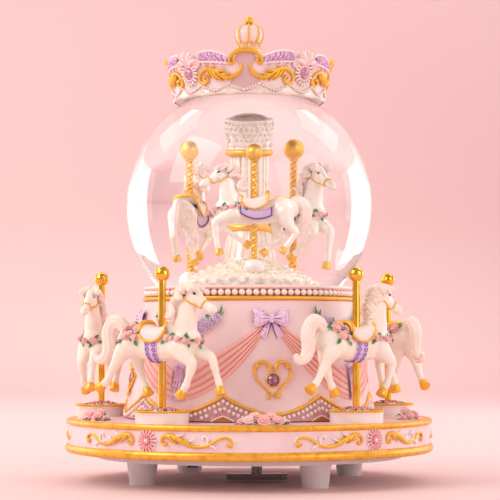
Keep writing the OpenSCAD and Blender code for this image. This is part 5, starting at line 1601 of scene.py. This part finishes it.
def gem_frames():
    """Pearly petals round each stone, under a fan shell with a curl on each side."""
    bm = bmesh.new()
    petals = 18
    for k in range(FRONTS):
        azimuth = CROWN_AZIMUTH + QUARTER * (k + 0.5)
        place = on_crown(azimuth)
        oval = [(2.75 * cos(tau * i / 36), -0.6, GEM_Z + 2.8 * sin(tau * i / 36), 0.5)
                for i in range(36)]
        strands(bm, [oval], 0, closed=True, place=place)
        for i in range(petals):
            a = tau * i / petals
            strands(bm, [[(reach * cos(a), -lift, GEM_Z + (reach + 0.6 * sin(a) ** 2) * sin(a),
                           size)
                          for reach, lift, size in ((2.9, 0.5, 0.3), (3.5, 0.7, 0.56),
                                                    (4.2, 0.45, 0.6), (4.6, 0.2, 0.3))]], 1,
                    place=place)
        for i in range(7):
            a = radians(-69 + 23 * i)
            reach = 5.3 - 0.25 * abs(i - 3)
            rib = through([(0.5 * sin(a), -0.6, 165.6, 0.35),
                           (reach * 0.6 * sin(a), -1.5, 165.6 + reach * 0.55 * cos(a), 0.85),
                           (reach * sin(a), -0.9, 165.6 + reach * cos(a), 0.8)], 4)
            strands(bm, [rib], 0 if i % 2 else 2, place=place)
        for side in (-1, 1):
            hook = curl((side * 4.5, 165.7), 180 if side > 0 else 0, -side * 1.3, 1.8, 0.5, 0.62)
            strands(bm, [[(x, -0.8, z, r) for x, _, z, r in hook]], 0, place=place)
    piece("gem_settings", bm, [petal_pink, pearly, crown_white], "root", ["gem_frames"])


def crown_gems():
    bm = bmesh.new()
    for k in range(FRONTS):
        spot = on_crown(CROWN_AZIMUTH + QUARTER * (k + 0.5))(Vector((0, -0.4, GEM_Z)))
        cut_gem(bm, facing(spot, (spot.x, spot.y, -hypot(spot.x, spot.y) * CROWN_SLOPE)),
                2.5, 2.6, 1.4, 0, 14)
    piece("crown_gems", bm, [rose_gem], "root", ["crown_gems"], 12)


def finial():
    """A small crown: a jewelled band, beaded ribs over a pink cap, and a ball."""
    bm = bmesh.new()
    base = Matrix.Translation((0, 0, FINIAL_Z))
    profile = ((0.0, 0.3), (4.5, 0.3), (4.7, 0.7), (4.5, 1.1), (4.4, 2.6), (4.7, 3.0), (4.5, 3.4),
               (5.0, 4.6), (5.5, 6.2), (5.35, 7.8), (4.5, 9.3), (2.7, 10.3), (1.2, 10.7),
               (0.0, 10.8))
    stamp(bm, small_shape(lambda own: turned(own, profile, 48)), Matrix(), 0)
    ribs = 8
    line = through([(4.4, 3.3), (5.0, 4.4), (5.55, 6.0), (5.4, 7.8), (4.6, 9.3), (2.9, 10.4),
                    (1.0, 10.9)], 4)
    for k in range(ribs):
        for lean in (-5.0, 5.0):
            turn = Matrix.Rotation(tau * k / ribs + radians(CROWN_AZIMUTH + lean), 4, "Z")
            strands(bm, [[(*(turn @ Vector((x, 0, z))), 0.24) for x, z in line[:-3]]], 3, sides=1)
        turn = Matrix.Rotation(tau * k / ribs + radians(CROWN_AZIMUTH), 4, "Z")
        for i, (x, z) in enumerate(line[::2]):
            stamp(bm, seed, turn @ Matrix.Translation((x + 0.12, 0, z))
                  @ Matrix.Scale(0.7 - 0.02 * i, 4), 1)
    for z, radius, thick in ((0.6, 4.6, 0.3), (3.1, 4.6, 0.3), (10.6, 1.3, 0.5)):
        ring(bm, Matrix.Translation((0, 0, z)), radius, thick, 1, 40, 8)
    for k in range(24):
        stamp(bm, seed, Matrix.Rotation(tau * k / 24, 4, "Z") @ Matrix.Translation((4.45, 0, 1.85))
              @ Matrix.Diagonal((0.4, 0.5, 0.7, 1)), 1 if k % 3 else 2)
    ball(bm, (0, 0, 12.35), (1.95, 1.95, 1.9), 1, 24)
    bmesh.ops.transform(bm, matrix=base, verts=bm.verts)
    piece("small_crown", bm, [cap_pink, gold, petal_pink, crown_white], "root",
          ["finial_crown"])


# ---------------------------------------------------------------- paints and parts

# The second colour given to paint() and pearl() is laid in the creases as painted shade.
gold = gold_paint()
amber = paint("amber_ground", tint(206, 120, 52), tint(140, 60, 26), 0.5)
bright_gold = polished_gold()
old_gold = satin_gold()
pearly = pearl("pearl_paint", tint(254, 240, 234), tint(232, 140, 112))
cream = paint("cream_resin", tint(255, 247, 234), tint(248, 206, 172), 0.36, 3.0, 1.0,
              Coat_Weight=0.2)
peach = paint("peach_mane", tint(255, 242, 230), tint(243, 184, 152), 0.4, 0.7, 1.2)
inner_white = pearl("inner_pearl", tint(255, 250, 240), tint(230, 196, 166))
inner_mane = paint("inner_mane", tint(255, 236, 230), tint(244, 178, 162), 0.36, 0.8, 1.3)
ink = paint("ink", tint(34, 20, 22), tint(16, 8, 10), 0.15)
seat_pink = paint("seat_paint", tint(255, 238, 234), tint(240, 184, 176), 0.34, 1.2)
girth_lilac = paint("girth_paint", tint(226, 204, 238), tint(184, 146, 208), 0.4, 0.6)
ring_purple = paint("ring_paint", tint(158, 112, 196), tint(112, 66, 156), 0.4, 0.5)
cloth_lilac = paint("cloth_paint", tint(218, 196, 232), tint(172, 132, 200), 0.4, 0.8)
line_purple = paint("line_paint", tint(106, 62, 150), tint(70, 34, 110), 0.4, 0.6)
rose_coral = paint("rose_coral", tint(255, 202, 200), tint(236, 120, 128), 0.4, 0.5, 1.6)
leaf_green = paint("leaf_green", tint(72, 146, 88), tint(14, 72, 40), 0.4, 0.6)
floret = paint("floret_paint", tint(236, 212, 244), tint(156, 98, 190), 0.4, 0.5, 1.6)
pale_floret = paint("pale_floret", tint(253, 242, 250), tint(206, 168, 222), 0.4, 0.5, 1.6)
petal_pink = paint("petal_pink", tint(255, 216, 216), tint(236, 138, 150), 0.36, 0.6, 1.5)
crown_white = paint("crown_white", tint(255, 242, 240), tint(238, 178, 178), 0.34, 1.0)
lip_cream = pearl("lip_cream", tint(255, 243, 230), tint(232, 190, 170))
bead_white = paint("bead_white", tint(255, 240, 236), tint(244, 186, 182), 0.3, 0.5, 1.2)
mauve = paint("mauve_panel", tint(224, 186, 187), tint(200, 152, 160), 0.4, 1.5)
mound_white = glitter_paint()
pearly_white = pearl("pearly_white", tint(255, 252, 248), tint(240, 214, 200))
column_white = pearl("column_paint", tint(255, 248, 238), tint(236, 206, 180))
crystal = pearl("capital_paint", tint(255, 252, 248), tint(208, 172, 148))
column_cap = pearl("column_cap", tint(214, 186, 176), tint(170, 138, 128))
cap_pink = paint("cap_pink", tint(255, 226, 220), tint(244, 178, 168), 0.34, 1.0)
daisy_pink = paint("daisy_pink", tint(255, 190, 194), tint(228, 110, 130), 0.36, 0.5, 1.6)
rose_pale = paint("rose_pale", tint(255, 226, 222), tint(244, 158, 160), 0.4, 0.5, 1.6)
# Lit ridges and shaded valleys of the swags: painted light and shade.
drape = cloth_paint("drape_paint", tint(252, 198, 188), tint(232, 142, 138))
bow_lilac = brushed("bow_paint", tint(250, 226, 244), tint(230, 190, 234), tint(118, 52, 146))
plume_lilac = brushed("plume_paint", tint(248, 206, 228), tint(206, 152, 214), tint(104, 48, 130))
amethyst = gem_glass("amethyst", tint(226, 160, 196), tint(150, 70, 120))
rose_gem = gem_glass("rose_gem", tint(255, 216, 230), tint(222, 142, 180))
glass_outer = glass("glass_outer", 1.5)
glass_inner = glass("glass_inner", 1.128)
drum_coat = drum_paint()
rim_coat = rim_paint()
white_resin = paint("white_resin", tint(253, 238, 236), tint(222, 158, 158), 0.38, 2.0)
wall_pink = paint("crown_wall_paint", tint(253, 234, 236), tint(230, 168, 176), 0.36, 1.6)
deck_pink = paint("deck_paint", tint(240, 206, 212), tint(204, 140, 156), 0.42, 3.0)
base_plastic = moulded("base_plastic", tint(238, 234, 238), 0.42)
black_plastic = moulded("black_plastic", tint(30, 28, 30), 0.4)
stopper_rubber = moulded("stopper_rubber", tint(64, 60, 60), 0.7)
board_green = moulded("board_green", tint(30, 96, 60), 0.4)
steel = metal("movement_steel", tint(200, 200, 204), 0.3, (1, 8, 1))
chrome = metal("key_chrome", tint(112, 104, 102), 0.14)
brass = metal("brass", tint(214, 178, 104), 0.28)

CARRIED_OVER = (
    (drum_coat, "drum_shell"), (pearly, "drum_pearls"), (rim_coat, "rim_band"),
    (deck_pink, "turntable"), (white_resin, "pedestals"), (bright_gold, "outer_poles"),
    (column_white, "column"), (black_plastic, "switch_body switch_knob"),
    (base_plastic, "bottom_plate feet battery_door chassis ring_gear transfer_shaft magnet_driver"),
    (stopper_rubber, "globe_stopper"), (board_green, "led_board"), (chrome, "winding_key"),
    (brass, "winding_arbor pin_cylinder governor_fan"),
    (steel, "screws battery_cells pivot_pin movement_bedplate spring_housing mainspring comb "
            "driver_magnets follower_magnets"))
for finish, nodes in CARRIED_OVER:
    for node in nodes.split():
        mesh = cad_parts[node].data
        mesh.materials.clear()
        mesh.materials.append(finish)

outer_model = horse_model(GALLOP, GALLOP_TAIL, 0.4, 0.36, True, 2.4)
outer_girth = bmesh.new()
girth_band(outer_girth, 0, 1)
for i in range(OUTER_COUNT):
    spot = at(OUTER_AZIMUTH + 360 / OUTER_COUNT * i, OUTER_CIRCLE, OUTER_HORSE_Z)
    body, hair, tack, flowers = (placed(part, spot) for part in outer_model)
    piece(f"outer_horse_{i + 1}_body", body, [cream, gold, ink, peach], "turntable",
          [f"outer_horse_{i + 1}"])
    piece(f"outer_horse_{i + 1}_hair", hair, [peach], "turntable")
    piece(f"outer_horse_{i + 1}_tack", tack, [seat_pink, gold], "turntable",
          ["outer_saddles"] if i == 0 else ())
    piece(f"outer_horse_{i + 1}_girth", placed(outer_girth, spot), [girth_lilac, ring_purple],
          "turntable")
    piece(f"outer_horse_{i + 1}_flowers", flowers, [rose_coral, leaf_green], "turntable")

inner_model = horse_model(TROT, TROT_TAIL, 0.8, 0.4, False, 3.4, 0.16)
inner_cloth = bmesh.new()
blanket(inner_cloth, 0, 1, 2)
for i, azimuth in enumerate(INNER_AZIMUTHS):
    spot = (at(azimuth, INNER_CIRCLE, INNER_HORSE_Z - 1.2)
            @ Matrix.Diagonal((-INNER_STRETCH * INNER_SCALE, INNER_SCALE, INNER_SCALE, 1)))
    body, hair, tack, flowers = (placed(part, spot) for part in inner_model)
    piece(f"inner_horse_{i + 1}_body", body, [inner_white, old_gold, ink, inner_mane],
          "inner_carousel", [f"inner_horse_{i + 1}"])
    piece(f"inner_horse_{i + 1}_hair", hair, [inner_mane], "inner_carousel")
    piece(f"inner_horse_{i + 1}_tack", tack, [seat_pink, old_gold], "inner_carousel",
          ["inner_saddles"] if i == 0 else ())
    piece(f"inner_horse_{i + 1}_cloth", placed(inner_cloth, spot),
          [cloth_lilac, line_purple, petal_pink], "inner_carousel")
    piece(f"inner_horse_{i + 1}_flowers", flowers, [rose_coral, leaf_green], "inner_carousel")

for make in (drum_trim, hem_pearls, drapery, ribbon_bows, heart_frames, heart_gems, wall_bouquets,
             rim_scrolls, pedestal_dress, rose_clusters, globe, mound, column_dress, column_bands,
             twisted_poles, crown_wall, crown_gold, crown_crests, crown_edge, gem_frames,
             crown_gems, finial):
    make()


# ---------------------------------------------------------------- studio

def backdrop():
    """A pink sheet that rises behind the object in one sweep."""
    finish = Finish("pink_paper")
    cloud = finish.noise(160.0, 2.0)
    x, y, z = finish.axes()
    shade = (x * 0.8 + z * 1.1 + cloud * 60.0).between(-120.0, 620.0)
    tone = finish.mix(shade, tint(248, 216, 214), tint(233, 197, 198))
    tone = finish.mix(y.between(770.0, 800.0), tint(246, 214, 213), tone)
    paper = finish.show(finish.gloss(tone, 0.75, finish.bump(finish.noise(1.2), 0.02, 0.2)))
    bm = bmesh.new()
    front, back, bend, top, half = -1600.0, 1250.0, 200.0, 1500.0, 1600.0
    line = [Vector((-half, front, 0)), Vector((-half, back, 0))]
    line += [Vector((-half, back + bend * sin(a), bend * (1 - cos(a))))
             for a in [pi / 2 * i / 16 for i in range(1, 17)]]
    line.append(Vector((-half, back + bend, top)))
    verts = [bm.verts.new(p) for p in line]
    edges = [bm.edges.new(pair) for pair in zip(verts, verts[1:])]
    moved = bmesh.ops.extrude_edge_only(bm, edges=edges)["geom"]
    bmesh.ops.translate(bm, vec=(2 * half, 0, 0),
                        verts=[v for v in moved if isinstance(v, bmesh.types.BMVert)])
    bmesh.ops.transform(bm, matrix=Matrix.Scale(MM, 4), verts=bm.verts)
    mesh = bpy.data.meshes.new("paper_sweep")
    bm.to_mesh(mesh)
    bm.free()
    mesh.materials.append(paper)
    mesh.shade_smooth()
    sweep = bpy.data.objects.new("paper_sweep", mesh)
    bpy.context.scene.collection.objects.link(sweep)


def softbox(name, place, aim, wide, tall, power, colour):
    light = bpy.data.lights.new(name, "AREA")
    light.shape = "RECTANGLE"
    light.size, light.size_y = wide * MM, tall * MM
    light.energy = power
    light.color = colour
    lamp = bpy.data.objects.new(name, light)
    lamp.location = Vector(place) * MM
    lamp.rotation_euler = (Vector(aim) - Vector(place)).to_track_quat("-Z", "Y").to_euler()
    bpy.context.scene.collection.objects.link(lamp)


def studio():
    scene = bpy.context.scene
    blush = (1.0, 0.96, 0.96)
    softbox("key", (-860, -460, 800), (0, 0, 80), 800, 800, 6.6, (1.0, 0.97, 0.92))
    softbox("fill", (760, -620, 420), (0, 0, 90), 800, 800, 3.0, (1.0, 0.95, 0.91))
    for name, (x, y, z), wide, tall, power, colour in (
            ("window", (560, 300, 760), 420, 420, 0.9, (1.0, 0.98, 0.97)),
            ("panel", (760, 438, 140), 640, 600, 1.75, (1.0, 0.98, 0.98)),
            ("strip", (497, 723, 140), 170, 600, 0.19, blush)):
        softbox(f"{name}_left", (-x, y, z), (0, 0, 110), wide, tall, power, colour)
        softbox(f"{name}_right", (x, y, z), (0, 0, 110), wide, tall, power, colour)
    softbox("backdrop_wash", (0, 800, 1300), (0, 1400, 200), 1800, 500, 8.6, blush)
    scene.world = bpy.data.worlds.new("studio")
    surround = Finish("studio", scene.world)
    seen = surround.node("LightPath", out="Is Camera Ray")
    around = surround.node("Background", None, {0: (0.98, 0.83, 0.79, 1.0), 1: 0.53})
    behind = surround.node("Background", None, {0: (0.94, 0.66, 0.65, 1.0), 1: 1.0})
    surround.node("OutputWorld", None, {0: surround.node(
        "MixShader", None, {0: seen, 1: around, 2: behind})})
    lens = bpy.data.cameras.new("camera")
    lens.lens, lens.sensor_width = 137, 36
    camera = bpy.data.objects.new("camera", lens)
    camera.location = Vector((0.33, -775, 58)) * MM
    camera.rotation_euler = (pi / 2 + radians(2.6), 0, 0)
    scene.collection.objects.link(camera)
    scene.camera = camera
    scene.view_settings.view_transform = "Standard"


backdrop()
studio()

for mesh in [mesh for mesh in bpy.data.meshes if not mesh.users]:
    bpy.data.meshes.remove(mesh)
